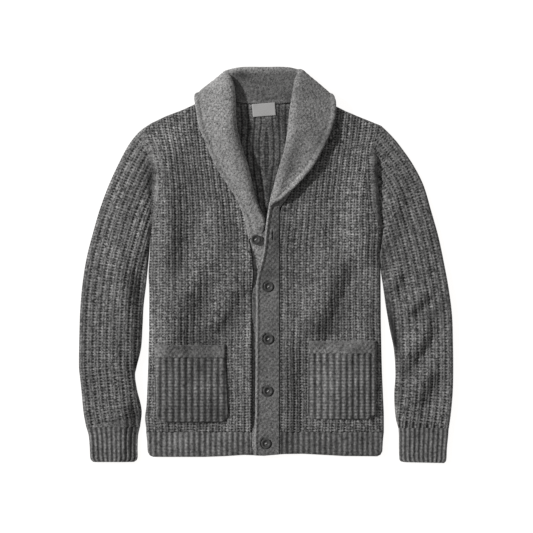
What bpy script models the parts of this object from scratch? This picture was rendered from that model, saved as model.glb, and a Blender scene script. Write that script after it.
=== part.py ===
"""Shawl-collar cardigan in chunky rib knit, lying flat and buttoned on a surface.

Lengths are millimetres here and become metres when a mesh is made. The garment lies on
z = 0 with its front up. +X is the wearer's left, +Y points to the collar and the origin
is on the surface under the middle of the garment.
"""

import math
from collections import namedtuple

import bmesh
import bpy
import numpy as np

MM = 0.001

# Cloth: each layer rests on the one below it
BODY_CLOTH = 5.0
COLLAR_CLOTH = 5.5
BAND_CLOTH = 4.5
POCKET_CLOTH = 4.5
LAYER_GAP = 0.6
SEAM_GAP = 0.6
FOLD_RADIUS = 9.0
RIM = 0.4
# Places of the columns next to a folded edge, measured in from it
EDGE_STEPS = np.array([0.0, 2.5, FOLD_RADIUS])

BACK_TOP = BODY_CLOTH
FRONT_UNDER = BACK_TOP + LAYER_GAP
FRONT_TOP = FRONT_UNDER + BODY_CLOTH

# Lengths down the body
HEM_SEAM_Y = -336.0
HEM_Y = -384.0
POCKET_MOUTH_DROP = 25.0

# The fall of the collar lies folded under the neck, so the cloth above it is lifted
COLLAR_LIFT = 6.4
LIFT_FULL_Y = 296.0
LIFT_FULL_X = 150.0
FRONT_LIFT_RUN = 46.0
BACK_LIFT_RUN = 24.0

# Shoulder line and neckline of each half, x measured away from the middle
NECK_POINT = (95.0, 341.0)
SHOULDER_TIP = (232.0, 279.0)
BACK_NECK_Y = 319.0
UNDERARM = (231.0, 70.0)

Edge = namedtuple("Edge", "y x")
SIDE_EDGE = [
    Edge(-336, 240.0),
    Edge(-300, 240.0),
    Edge(-210, 236.0),
    Edge(-120, 234.0),
    Edge(-20, 233.5),
    Edge(70, 231.0),
]
HEM_EDGE = [
    Edge(-384, 226.0),
    Edge(-381, 233.0),
    Edge(-374, 237.0),
    Edge(-355, 238.0),
    Edge(-336, 240.0),
]
ARMHOLE = [
    Edge(279, 232.0),
    Edge(256, 222.0),
    Edge(236, 210.0),
    Edge(212, 201.0),
    Edge(174, 199.5),
    Edge(140, 198.0),
    Edge(117, 209.0),
    Edge(94, 219.0),
    Edge(70, 231.0),
]
RIGHT_NECKLINE = [
    Edge(-400, 28.6),
    Edge(10, 28.6),
    Edge(40, 31.0),
    Edge(66, 34.5),
    Edge(104, 41.0),
    Edge(138, 51.0),
    Edge(198, 69.0),
    Edge(250, 84.0),
    Edge(316, 92.5),
    Edge(341, 95.0),
]
LEFT_NECKLINE = [
    Edge(-400, 28.6),
    Edge(104, 28.6),
    Edge(114, 31.0),
    Edge(134, 46.0),
    Edge(150, 55.0),
    Edge(172, 62.5),
    Edge(198, 69.5),
    Edge(250, 84.0),
    Edge(316, 92.5),
    Edge(341, 95.0),
]

# How far the shoulders and the hem were pushed up or down as the cardigan was laid out,
# at each x, and how far its left flank was drawn in
SHOULDER_SHIFT = (
    [-262, -232, -200, -165, 95, 140, 160, 200, 232, 262],
    [0.0, 2.2, 3.0, 0.0, 0.0, -5.0, -6.0, -3.8, -2.2, 0.0],
)
HEM_SHIFT = (
    [-230, -204, -124, -84, -44, -4, 36, 76, 116, 156, 230],
    [-2.0, -2.2, -2.2, -0.8, 1.8, 0.4, 3.8, 4.0, 1.8, -0.4, -1.0],
)
FLANK_DRAWN_IN = 4.0

# Soft folds of the fronts: a ridge from one end to the other, height above the flat cloth
Fold = namedtuple("Fold", "x1 y1 x2 y2 width height")
BODY_FOLDS = [
    Fold(-52, -330, -44, -110, 26, 3.0),
    Fold(-205, -120, -150, 20, 28, 2.2),
    Fold(-120, 40, -150, 190, 34, 2.0),
    Fold(60, -330, 66, -60, 30, 2.2),
    Fold(205, -90, 150, 60, 30, 2.2),
    Fold(150, 90, 120, 220, 34, 2.0),
]

# Half sections of each sleeve: outer edge, inner edge, height of the cloth over the surface
Ring = namedtuple("Ring", "out_x out_y in_x in_y height")
RIGHT_SLEEVE = [
    Ring(-232, 279, -231, 70, 10.6),
    Ring(-255, 264, -234.2, 68, 10.8),
    Ring(-276, 238, -235.4, 62, 11.2),
    Ring(-296, 200, -235.8, 50, 11.8),
    Ring(-315, 158, -236, 32, 12.4),
    Ring(-332, 112, -236.4, 8, 13.0),
    Ring(-346, 64, -238, -16, 13.4),
    Ring(-358, 14, -241, -44, 13.6),
    Ring(-367, -36, -245, -84, 13.6),
    Ring(-372, -90, -247, -124, 13.4),
    Ring(-374, -150, -250, -168, 13.2),
    Ring(-374.6, -204, -259, -206, 13.4),
    Ring(-372.4, -228, -262, -224, 13.4),
    Ring(-369.4, -256, -258, -252, 13.4),
    Ring(-365.6, -296, -249, -292, 13.0),
    Ring(-360, -327, -252, -326, 12.0),
]
LEFT_SLEEVE = [
    Ring(232, 279, 231, 70, 10.6),
    Ring(251, 259, 233.8, 68, 10.8),
    Ring(271, 234, 234.2, 62, 11.2),
    Ring(295.3, 198.4, 234.0, 50, 11.8),
    Ring(315.8, 157.4, 233.4, 32, 12.4),
    Ring(331, 106, 232.8, 8, 13.0),
    Ring(345.5, 54, 233.4, -16, 13.4),
    Ring(356.5, 2, 236.6, -48, 13.6),
    Ring(366, -50, 241.6, -92, 13.6),
    Ring(372.6, -102, 248, -132, 13.4),
    Ring(374.4, -156, 256, -172, 13.2),
    Ring(375.0, -212, 259, -220, 13.4),
    Ring(374.0, -256, 256.6, -262, 13.4),
    Ring(370.6, -296, 259, -304, 13.0),
    Ring(366.4, -328, 264.6, -328, 12.0),
]
RIGHT_CUFF = [
    Ring(-359.4, -327.6, -252.6, -326.6, 11.6),
    Ring(-355, -344, -256, -344, 11.4),
    Ring(-353, -366, -257, -366, 11.4),
    Ring(-351.6, -387.4, -257.4, -387.4, 11.2),
    Ring(-346, -394.4, -264, -394.2, 10.6),
]
LEFT_CUFF = [
    Ring(366.0, -328.6, 265.0, -328.6, 11.6),
    Ring(364.6, -346, 266, -346, 11.4),
    Ring(362.4, -368, 266, -368, 11.4),
    Ring(361, -389.6, 267.4, -389.6, 11.2),
    Ring(357, -397.4, 275, -395.6, 10.6),
]
SLEEVE_MIDDLE = 5.3
SLEEVE_BORE = 0.4
# Where each sleeve tucks under the body: a crease beside the body, deepest at the armpit
CREASE_TOP_Y = 222.0
CREASE_WIDTH = 16.0
CREASE_DEPTH = 5.0

# Collar stations from the break of the front up to the middle of the back: seam with the
# body, visible roll edge, free edge of the fall and how far it stands off the front, turn
# of the fall (0 on the front, 180 folded under the back) and radius of the roll
Station = namedtuple("Station", "seam_x seam_y roll_x roll_y edge_x edge_y stand_off turn radius")
RIGHT_COLLAR = [
    Station(-32.5, 75, -3.4, 75, -40, 67, 1.2, 0, 3.4),
    Station(-36.5, 89, -4, 91, -47, 85, 1.4, 0, 4.2),
    Station(-42.6, 112, -11.4, 108, -54, 100, 1.8, 0, 5.4),
    Station(-51.0, 138, -21, 138, -61, 129, 2.0, 0, 6.8),
    Station(-60.0, 168, -29, 170, -77, 158, 2.0, 0, 8.0),
    Station(-69.0, 198, -36, 200, -98, 190, 2.0, 0, 8.8),
    Station(-78.0, 230, -46, 230, -112, 219, 2.0, 0, 9.0),
    Station(-85.2, 262, -55, 262, -124, 250, 2.2, 0, 8.8),
    Station(-89.1, 292, -59, 294, -134, 273, 2.4, 0, 8.2),
    Station(-91.5, 316, -60, 322, -139, 299, 2.6, 0, 7.6),
    Station(-92.0, 329, -62, 350, -142, 320, 2.6, 14, 7.0),
    Station(-91.0, 336.5, -67.4, 369.4, -143, 328, 2.6, 40, 6.2),
    Station(-88.0, 342.6, -74, 384, -142, 334, 1.6, 90, 5.0),
    Station(-82.0, 338.3, -67.6, 389.2, -137, 328, 0.6, 148, 4.3),
    Station(-72.0, 330.5, -51.5, 394.2, -116, 317, 0.6, 174, 4.0),
    Station(-44.0, 322.5, -32, 395, -64, 309, 0.6, 180, 3.9),
    Station(0.0, 320.5, 0, 395, 0, 306, 0.6, 180, 3.9),
]
LEFT_COLLAR = [
    Station(29.0, 114, 5, 114, 13, 119, 2.0, 0, 3.4),
    Station(43.5, 134, 9, 135, 31, 129, 6.0, 0, 5.4),
    Station(52.5, 150, 13.5, 151, 49, 145, 9.0, 0, 6.8),
    Station(60.5, 172, 19, 172, 66, 162, 12.0, 0, 8.0),
    Station(68.5, 196, 26, 196, 84, 182, 14.0, 0, 9.0),
    Station(75.8, 222, 34, 222, 101, 206, 14.4, 0, 9.4),
    Station(84.2, 256, 41, 256, 119, 240, 12.0, 0, 9.4),
    Station(88.9, 290, 44.5, 290, 131, 268, 9.0, 0, 8.8),
    Station(91.5, 316, 48, 318, 139.5, 300, 6.4, 0, 8.0),
    Station(92.0, 329, 53, 348, 140, 322, 4.0, 14, 6.8),
    Station(91.0, 336.5, 57.5, 370, 138, 329, 3.0, 40, 5.8),
    Station(88.0, 342.6, 64, 386, 135, 334, 1.4, 90, 4.8),
    Station(82.0, 338.3, 58, 389.5, 131, 328, 0.6, 148, 4.2),
    Station(72.0, 330.5, 45, 393.5, 112, 317, 0.6, 174, 4.0),
    Station(44.0, 322.5, 28, 395, 62, 309, 0.6, 180, 3.9),
]

# Front bands: the button band is under the buttonhole band
BUTTON_BAND_TOP_Y = 68.0
BUTTON_BAND_EDGE_X = 18.0
BAND_SEAM_X = 27.8
BAND_EDGE = [
    Edge(-384, -23.0),
    Edge(-355, -24.5),
    Edge(-300, -22.0),
    Edge(-200, -21.0),
    Edge(-92, -20.5),
    Edge(-45, -20.5),
    Edge(-20, -17.5),
    Edge(0, -11.0),
    Edge(30, -5.0),
    Edge(70, -1.6),
    Edge(112, 4.5),
]
BAND_TOP_Y = 112.5
UNDER_BAND_TOP = FRONT_UNDER + BAND_CLOTH
BAND_UNDER = UNDER_BAND_TOP + LAYER_GAP
BAND_TOP = BAND_UNDER + BAND_CLOTH
BAND_RAMP = BAND_TOP - FRONT_TOP
BUTTONHOLE = (13.0, 56.5)
BUTTONHOLE_LENGTH = 21.0
BUTTONHOLE_WIDTH = 2.6

# Buttons, 30 ligne: one open on the under band, four done up
BUTTON_RADIUS = 9.7
BUTTON_THICKNESS = 4.2
BUTTON_WELL_RADIUS = 5.6
BUTTON_WELL_DEPTH = 2.2
BUTTON_HOLE_RADIUS = 1.0
BUTTON_HOLE_SPACING = 4.4
BUTTON_HOLE_SLANT = math.radians(35)
OPEN_BUTTON = (-20.5, 49.0)
CLOSED_BUTTONS = [(5.0, -45.0), (5.0, -150.0), (4.0, -254.0), (0.0, -359.0)]

# Patch pockets: top edge, bottom edge and the radius of the lower corners
Pocket = namedtuple("Pocket", "mouth_y foot_y in_mouth in_foot out_mouth out_foot corner")
RIGHT_POCKET = Pocket(-162, -316, -82, -75, -223, -218, 18)
LEFT_POCKET = Pocket(-154, -310, 86, 81, 225, 223, 18)

# Neck label: woven tape over the neck seam
LABEL_CENTRE = (-4.0, 308.5)
LABEL_SIZE = (46.0, 26.0)
LABEL_THICKNESS = 0.9
LABEL_TILT = math.radians(4.5)
LABEL_Z = BACK_TOP + COLLAR_LIFT + 1.5


def fresh_scene():
    for obj in list(bpy.data.objects):
        bpy.data.objects.remove(obj, do_unlink=True)


def finish(name, colour, roughness=0.9, metallic=0.0):
    material = bpy.data.materials.new(name)
    material.use_nodes = True
    shader = material.node_tree.nodes["Principled BSDF"]
    shader.inputs["Base Color"].default_value = (*colour, 1.0)
    shader.inputs["Roughness"].default_value = roughness
    shader.inputs["Metallic"].default_value = metallic
    return material


def ease(t):
    t = np.clip(t, 0.0, 1.0)
    return t * t * (3.0 - 2.0 * t)


def edge_x(rows, y):
    """x of an edge at a height, read between the rows of its table."""
    rows = sorted(rows)
    return np.interp(y, [row.y for row in rows], [row.x for row in rows])


def to_line(points, line):
    """Distance of each point from a line of straight stretches, in the plan."""
    points = np.asarray(points, float)
    best = np.full(points.shape[:-1], np.inf)
    for a, b in zip(line[:-1], line[1:]):
        a, b = np.asarray(a, float), np.asarray(b, float)
        along = np.clip(((points - a) @ (b - a)) / ((b - a) @ (b - a)), 0.0, 1.0)
        best = np.minimum(best, np.linalg.norm(points - a - along[..., None] * (b - a), axis=-1))
    return best


def lift(x, y, run=FRONT_LIFT_RUN):
    """How far the folded-under collar raises the cloth that lies on it."""
    along = ease(1.0 + (y - LIFT_FULL_Y) / run)
    across = ease(1.0 + (LIFT_FULL_X - np.abs(x)) / run)
    return COLLAR_LIFT * along * across


def rounding(distance):
    """0 at a folded edge, 1 where the cloth lies flat."""
    t = np.clip(distance / FOLD_RADIUS, 0.0, 1.0)
    return np.sqrt(1.0 - (1.0 - t) ** 2)


def folds(x, y):
    height = np.zeros(np.shape(x))
    points = np.stack(np.broadcast_arrays(x, y), axis=-1)
    for fold in BODY_FOLDS:
        far = to_line(points, [(fold.x1, fold.y1), (fold.x2, fold.y2)])
        height = height + fold.height * np.exp(-((far / fold.width) ** 2))
    return height


def band_ramp(x, y):
    """The left front climbs beside its band, which lies on the button band."""
    return BAND_RAMP * ease((74.0 - x) / 42.0) * ease((x - 20.0) / 4.0) * ease((190.0 - y) / 80.0)


def front_rise(x, y):
    near_band = ease((np.abs(x) - 30.0) / 24.0)
    near_hem = ease((y - HEM_SEAM_Y) / 30.0)
    return lift(x, y) + folds(x, y) * near_band * near_hem + band_ramp(x, y)


def body_folded_edges(side):
    """The side seam and the shoulder, where front and back meet in a fold."""
    flank = [(side * row.x, row.y) for row in SIDE_EDGE]
    hem = [(side * row.x, row.y) for row in HEM_EDGE if row.y < HEM_SEAM_Y and row.y > HEM_Y]
    shoulder = [(side * NECK_POINT[0], NECK_POINT[1]), (side * SHOULDER_TIP[0], SHOULDER_TIP[1])]
    return hem + flank, shoulder


def front_surface(x, y):
    """Height of the fronts' upper face, rounded off at the sides and shoulders."""
    points = np.stack(np.broadcast_arrays(x, y), axis=-1)
    side = 1 if np.mean(x) > 0 else -1
    flank, shoulder = body_folded_edges(side)
    shape = rounding(to_line(points, flank)) * rounding(to_line(points, shoulder))
    under = FRONT_UNDER + front_rise(x, y)
    return under + RIM + (BODY_CLOTH - RIM) * shape


def make_object(name, points, faces, material):
    mesh = bpy.data.meshes.new(name)
    mesh.from_pydata([tuple(point) for point in np.asarray(points) * MM], [], faces)
    mesh.materials.append(material)
    obj = bpy.data.objects.new(name, mesh)
    bpy.context.scene.collection.objects.link(obj)
    shaping = bmesh.new()
    shaping.from_mesh(mesh)
    bmesh.ops.recalc_face_normals(shaping, faces=shaping.faces)
    bmesh.ops.triangulate(shaping, faces=shaping.faces)
    shaping.to_mesh(mesh)
    shaping.free()
    return obj


def layer(name, upper, lower, material):
    """A closed wall between two grids of points with the same rows and columns."""
    rows, columns = upper.shape[:2]
    points = np.concatenate([upper.reshape(-1, 3), lower.reshape(-1, 3)])
    under = rows * columns

    def at(row, column):
        return row * columns + column

    faces = []
    for row in range(rows - 1):
        for column in range(columns - 1):
            quad = (at(row, column), at(row, column + 1))
            quad += (at(row + 1, column + 1), at(row + 1, column))
            faces.append(quad)
            faces.append(tuple(corner + under for corner in reversed(quad)))
    rim = [at(0, column) for column in range(columns)]
    rim += [at(row, columns - 1) for row in range(1, rows)]
    rim += [at(rows - 1, column) for column in range(columns - 2, -1, -1)]
    rim += [at(row, 0) for row in range(rows - 2, 0, -1)]
    for here, after in zip(rim, rim[1:] + rim[:1]):
        faces.append((here, here + under, after + under, after))
    return make_object(name, points, faces, material)


def tube(name, outer, inner, material):
    """A closed wall between an outer and an inner sleeve of rings, open at both ends."""
    rings, around = outer.shape[:2]
    points = np.concatenate([outer.reshape(-1, 3), inner.reshape(-1, 3)])
    inside = rings * around
    faces = []
    for ring in range(rings - 1):
        for step in range(around):
            after = (step + 1) % around
            quad = (ring * around + step, ring * around + after)
            quad += ((ring + 1) * around + after, (ring + 1) * around + step)
            faces.append(quad)
            faces.append(tuple(corner + inside for corner in reversed(quad)))
    for ring in (0, rings - 1):
        for step in range(around):
            after = (step + 1) % around
            here, there = ring * around + step, ring * around + after
            faces.append((here, here + inside, there + inside, there))
    return make_object(name, points, faces, material)


def grid(x, y, z):
    return np.stack(np.broadcast_arrays(x, y, z), axis=-1).astype(float)


def laid(x, y, z, drawn_in=FLANK_DRAWN_IN):
    """Points of the cloth where they lie, the two halves not quite alike."""
    slip = np.interp(x, *SHOULDER_SHIFT) * ease((y - 150.0) / 110.0)
    slip = slip + np.interp(x, *HEM_SHIFT) * ease((-340.0 - y) / 44.0)
    draw = drawn_in * ease((x - 150.0) / 75.0) * ease((70.0 - y) / 60.0)
    return grid(x - draw, y + slip, z)


def near_edge_steps(length, count):
    """Places along a stretch, close together at both ends, where the cloth rounds over."""
    middle = np.linspace(FOLD_RADIUS, length - FOLD_RADIUS, count + 2)[1:-1]
    return np.concatenate([EDGE_STEPS, middle, length - EDGE_STEPS[::-1]])


def armhole_points():
    """The armhole seam of the +X half, from the shoulder tip down to the underarm."""
    line = np.array([(row.x, row.y) for row in ARMHOLE], float)
    lengths = np.concatenate([[0.0], np.cumsum(np.linalg.norm(np.diff(line, axis=0), axis=1))])
    stops = near_edge_steps(lengths[-1], 0)
    stops = np.unique(np.concatenate([stops, lengths[1:-1]]))
    return np.stack([np.interp(stops, lengths, line[:, way]) for way in (0, 1)], axis=-1)


def front_plan(side):
    """Rows of the front panel's plan, hem seam to shoulder, columns from neck to side."""
    low = np.linspace(HEM_SEAM_Y + SEAM_GAP / 2, UNDERARM[1], 13)[:-1]
    arm = armhole_points()[::-1]
    outer = [(edge_x(SIDE_EDGE, y), y) for y in low] + [tuple(point) for point in arm]
    neckline = RIGHT_NECKLINE if side < 0 else LEFT_NECKLINE
    inner = [(edge_x(neckline, y), y) for y in low]
    grow = (NECK_POINT[1] - UNDERARM[1]) / (SHOULDER_TIP[1] - UNDERARM[1])
    for _, y in arm:
        neck_y = UNDERARM[1] + (y - UNDERARM[1]) * grow
        inner.append((edge_x(neckline, neck_y), neck_y))
    inner, outer = np.array(inner), np.array(outer)
    outer[len(low):, 0] -= SEAM_GAP / 2
    inner[:, 0] += SEAM_GAP
    width = np.linalg.norm(outer - inner, axis=1)[:, None]
    shares = np.linspace(0.0, 1.0, 10)[None, :-1] * (width - FOLD_RADIUS) / width
    near = 1.0 - EDGE_STEPS[::-1] / width
    shares = np.concatenate([shares, near], axis=1)[..., None]
    plan = inner[:, None, :] + (outer - inner)[:, None, :] * shares
    plan[..., 0] *= side
    return plan


def make_front(name, side, material):
    plan = front_plan(side)
    x, y = plan[..., 0], plan[..., 1]
    upper = laid(x, y, front_surface(x, y))
    lower = laid(x, y, FRONT_UNDER + front_rise(x, y))
    return layer(name, upper, lower, material)


def back_neck_y(x):
    """The back neckline, a shallow scoop between the neck points."""
    share = np.clip(np.abs(x) / NECK_POINT[0], 0.0, 1.0)
    return BACK_NECK_Y + (NECK_POINT[1] - 2.6 - BACK_NECK_Y) * share**3.8


def make_back(material):
    low = np.linspace(HEM_SEAM_Y + SEAM_GAP / 2, UNDERARM[1], 11)[:-1]
    arm = armhole_points()[::-1]
    half = UNDERARM[0]
    across = np.concatenate([half - EDGE_STEPS, [190, 160, 128, 106, 95, 84, 64, 42, 20]])
    across = np.concatenate([-across, [0.0], across[::-1]])
    share = across / half
    plan = []
    for y in low:
        plan.append([(s * edge_x(SIDE_EDGE, y), y) for s in share])
    shoulder_slope = (NECK_POINT[1] - SHOULDER_TIP[1]) / (SHOULDER_TIP[0] - NECK_POINT[0])
    for arm_x, arm_y in arm:
        climb = (arm_y - UNDERARM[1]) / (SHOULDER_TIP[1] - UNDERARM[1])
        row = []
        for s in share:
            top_x = s * SHOULDER_TIP[0]
            shoulder_y = SHOULDER_TIP[1] + (SHOULDER_TIP[0] - abs(top_x)) * shoulder_slope
            top_y = shoulder_y if abs(top_x) > NECK_POINT[0] else back_neck_y(top_x) - SEAM_GAP
            x = s * (arm_x - SEAM_GAP / 2)
            row.append((x, UNDERARM[1] + (top_y - UNDERARM[1]) * climb))
        plan.append(row)
    plan = np.array(plan)
    x, y = plan[..., 0], plan[..., 1]
    shape = np.ones(x.shape)
    for side in (-1, 1):
        for line in body_folded_edges(side):
            shape = shape * rounding(to_line(plan, line))
    rise = lift(x, y, BACK_LIFT_RUN)
    upper = laid(x, y, BACK_TOP + rise)
    lower = laid(x, y, BACK_TOP + rise - RIM - (BACK_TOP - RIM) * shape)
    return layer("back", upper, lower, material)


def make_hem(name, side, front, material):
    """A ribbed welt: half a front's width, or the whole back's."""
    rows = np.array([HEM_Y, -381.0, -374.0, -362.0, -350.0, HEM_SEAM_Y - SEAM_GAP / 2])
    outer = edge_x(HEM_EDGE, rows)
    if front:
        inner = np.full(rows.shape, LEFT_NECKLINE[0].x + SEAM_GAP)
        width = (outer - inner)[:, None]
        shares = np.linspace(0.0, 1.0, 8)[None, :-1] * (width - FOLD_RADIUS) / width
        shares = np.concatenate([shares, 1.0 - EDGE_STEPS[::-1] / width], axis=1)
        x = side * (inner[:, None] + width * shares)
    else:
        outer = outer[:, None]
        half = np.concatenate([outer - EDGE_STEPS, outer * np.array([0.75, 0.5, 0.25])], axis=1)
        x = np.concatenate([-half, np.zeros((len(rows), 1)), half[:, ::-1]], axis=1)
    y = np.broadcast_to(rows[:, None], x.shape)
    points = np.stack([x, y], axis=-1)
    shape = np.ones(x.shape)
    for way in (-1, 1):
        line = [(way * row.x, row.y) for row in HEM_EDGE if row.y > HEM_Y]
        shape = shape * rounding(to_line(points, line))
    shape = np.maximum(shape, 0.12)
    if front:
        under = FRONT_UNDER + band_ramp(x, y)
        upper, lower = under + RIM + (BAND_CLOTH - RIM) * shape, under
    else:
        upper, lower = BACK_TOP + 0 * x, BACK_TOP - RIM - (BACK_TOP - RIM) * shape
    return layer(name, laid(x, y, upper), laid(x, y, lower), material)


def crease(x, y, side):
    """The tuck of a sleeve beside the body, as a trough in its upper face."""
    line_x = side * np.interp(y, [0.0, 60.0, CREASE_TOP_Y], [236.0, 234.0, 233.0])
    away = side * (x - line_x)
    across = np.where(away > 0, np.exp(-((away / CREASE_WIDTH) ** 2)), np.exp(-((away / 5.0) ** 2)))
    return CREASE_DEPTH * across * ease((CREASE_TOP_Y - y) / 50.0) * ease((y + 10.0) / 40.0)


def make_sleeve(name, rings, side, material, armhole):
    """A flattened tube: the upper run of each ring goes from outer to inner edge and the
    lower run comes back, and the first ring of a sleeve follows the armhole."""
    outline_out = [(ring.out_x, ring.out_y) for ring in rings]
    outline_in = [(ring.in_x, ring.in_y) for ring in rings]
    first, last = np.array(outline_out[0], float), np.array(outline_in[0], float)
    if armhole:
        seam = armhole_points() * (side, 1.0)
        seam[:, 0] += side * SEAM_GAP / 2
        shares = np.linalg.norm(np.diff(seam, axis=0), axis=1)
        shares = np.concatenate([[0.0], np.cumsum(shares)]) / shares.sum()
        bow = seam - (first + (last - first) * shares[:, None])
    else:
        length = np.linalg.norm(last - first)
        shares = near_edge_steps(length, 5) / length
        bow = np.zeros((len(shares), 2))
    plan, heights = [], []
    for index, ring in enumerate(rings):
        a, b = np.array([ring.out_x, ring.out_y]), np.array([ring.in_x, ring.in_y])
        fade = float(1.0 - ease(index / 6.0)) if armhole else 0.0
        plan.append(a + (b - a) * shares[:, None] + fade * bow)
        heights.append(np.full(len(shares), ring.height))
    plan, heights = np.array(plan), np.array(heights)
    x, y = plan[..., 0], plan[..., 1]
    distance = np.minimum(to_line(plan, outline_out), to_line(plan, outline_in))
    distance[:, 0] = distance[:, -1] = 0.0
    shape = rounding(distance)
    top = heights - (crease(x, y, side) if armhole else 0.0)
    upper = SLEEVE_MIDDLE + (top - SLEEVE_MIDDLE) * shape
    lower = SLEEVE_MIDDLE - SLEEVE_MIDDLE * shape
    outer = np.concatenate([laid(x, y, upper, 0.0), laid(x, y, lower, 0.0)[:, -2:0:-1]], axis=1)
    toward = plan[:, -1] - plan[:, 0]
    across = np.linalg.norm(toward, axis=1)
    wall = np.minimum(BODY_CLOTH, 0.45 * across)
    toward = toward / across[:, None]
    pulled = plan.copy()
    for column in range(len(shares)):
        start = np.clip(wall - distance[:, column], 0.0, None) * (shares[column] < 0.5)
        stop = np.clip(wall - distance[:, column], 0.0, None) * (shares[column] >= 0.5)
        pulled[:, column] += toward * (start - stop)[:, None]
    bore = SLEEVE_BORE * (0.35 + 0.65 * shape)
    bore_top = SLEEVE_MIDDLE + bore + np.clip(top - FRONT_TOP, 0.0, 3.0) * shape
    bore_top = np.maximum(np.minimum(bore_top, upper - 1.0), SLEEVE_MIDDLE + 0.1)
    inner_up = laid(pulled[..., 0], pulled[..., 1], bore_top, 0.0)
    inner_low = laid(pulled[..., 0], pulled[..., 1], SLEEVE_MIDDLE - bore, 0.0)
    inner = np.concatenate([inner_up, inner_low[:, -2:0:-1]], axis=1)
    return tube(name, outer, inner, material)


def smooth_rows(rows, between):
    """A smooth run through the rows of points, with extra rows between them."""
    rows = np.asarray(rows, float)
    padded = np.concatenate([2 * rows[:1] - rows[1:2], rows, 2 * rows[-1:] - rows[-2:-1]])
    found = []
    for index in range(1, len(padded) - 2):
        p0, p1, p2, p3 = padded[index - 1 : index + 3]
        for step in range(between):
            t = step / between
            found.append(
                0.5 * (2 * p1 + (p2 - p0) * t + (2 * p0 - 5 * p1 + 4 * p2 - p3) * t**2
                       + (3 * p1 - p0 - 3 * p2 + p3) * t**3)
            )
    found.append(rows[-1])
    return np.array(found)


def collar_section(station, side):
    """Middle of the collar's cloth at one station: seam, stand, roll, fall, free edge."""
    turn = math.radians(station.turn)
    half = COLLAR_CLOTH / 2
    seam = np.array([station.seam_x, station.seam_y, 0.0])
    roll = np.array([station.roll_x, station.roll_y, 0.0])
    edge = np.array([station.edge_x, station.edge_y, 0.0])
    on_front = math.cos(turn / 2) ** 2
    front_seam_z = FRONT_UNDER + half + 0.3
    front_seam_z += float(lift(seam[0], seam[1]) + band_ramp(seam[0], seam[1]))
    back_seam_z = COLLAR_LIFT + half + 0.2
    seam[2] = on_front * front_seam_z + (1 - on_front) * back_seam_z
    fall_z = FRONT_TOP + float(lift(edge[0], edge[1])) + half + station.stand_off
    edge[2] = on_front * fall_z + (1 - on_front) * (half + 0.4)
    out = edge - roll
    out[2] = 0.0
    out /= np.linalg.norm(out)
    # The fall leaves the roll on this side of the stand: up on the front, under at the back
    outward = np.array([out[1], -out[0], 0.0]) * side
    normal = math.cos(turn) * np.array([0.0, 0.0, 1.0]) + math.sin(turn) * outward
    radius = station.radius
    stand_top = seam[2] + 0.8 + (1 - on_front) * 2.2
    centre = roll + out * (half + radius)
    centre[2] = stand_top + radius * math.cos(turn)
    stand_end = centre - normal * radius
    points = [seam, seam + (stand_end - seam) * 0.5]
    for angle in (-90, -40, 0, 40, 90):
        swing = math.radians(angle)
        points.append(centre - out * radius * math.cos(swing) + normal * radius * math.sin(swing))
    fall_start = points[-1]
    for share in (0.3, 0.65, 1.0):
        point = fall_start + (edge - fall_start) * share
        point = point + normal * 1.6 * math.sin(math.pi * share) * on_front
        points.append(point)
    return np.array(points)


def cloth_from_middle(name, middle, thickness, material):
    """A wall of even thickness either side of a grid of points."""
    down = np.gradient(middle, axis=0)
    along = np.gradient(middle, axis=1)
    normal = np.cross(down, along)
    normal /= np.linalg.norm(normal, axis=-1, keepdims=True)
    half = thickness / 2
    return layer(name, middle + normal * half, middle - normal * half, material)


def make_collar(material):
    right = [collar_section(station, 1) for station in RIGHT_COLLAR]
    left = [collar_section(station, -1) for station in LEFT_COLLAR]
    middle = smooth_rows(right + left[::-1], 2)
    return cloth_from_middle("collar", middle, COLLAR_CLOTH, material)


def make_button_band(material):
    y = np.linspace(HEM_Y, BUTTON_BAND_TOP_Y, 12)[:, None]
    seam = SEAM_GAP + 0.2 - edge_x(RIGHT_NECKLINE, y)
    x = seam + (BUTTON_BAND_EDGE_X - seam) * np.linspace(0.0, 1.0, 4)[None, :]
    return layer("button_band", laid(x, y, UNDER_BAND_TOP), laid(x, y, FRONT_UNDER), material)


def make_buttonhole_band(material):
    y = np.concatenate([[row.y for row in BAND_EDGE[:-1]], [BAND_TOP_Y]])
    free = edge_x(BAND_EDGE, y)[:, None]
    x = free + (BAND_SEAM_X - free) * np.linspace(0.0, 1.0, 5)[None, :]
    y = np.broadcast_to(y[:, None], x.shape)
    band = layer("buttonhole_band", laid(x, y, BAND_TOP), laid(x, y, BAND_UNDER), material)
    bpy.ops.mesh.primitive_cube_add(
        size=1.0, location=(BUTTONHOLE[0] * MM, BUTTONHOLE[1] * MM, BAND_UNDER * MM)
    )
    cutter = bpy.context.object
    cutter.name = "buttonhole_cutter"
    cutter.scale = (BUTTONHOLE_WIDTH * MM, BUTTONHOLE_LENGTH * MM, 4 * BAND_CLOTH * MM)
    cutter.hide_render = True
    cutter.display_type = "WIRE"
    cut = band.modifiers.new("buttonhole", "BOOLEAN")
    cut.operation = "DIFFERENCE"
    cut.object = cutter
    return band


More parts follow.
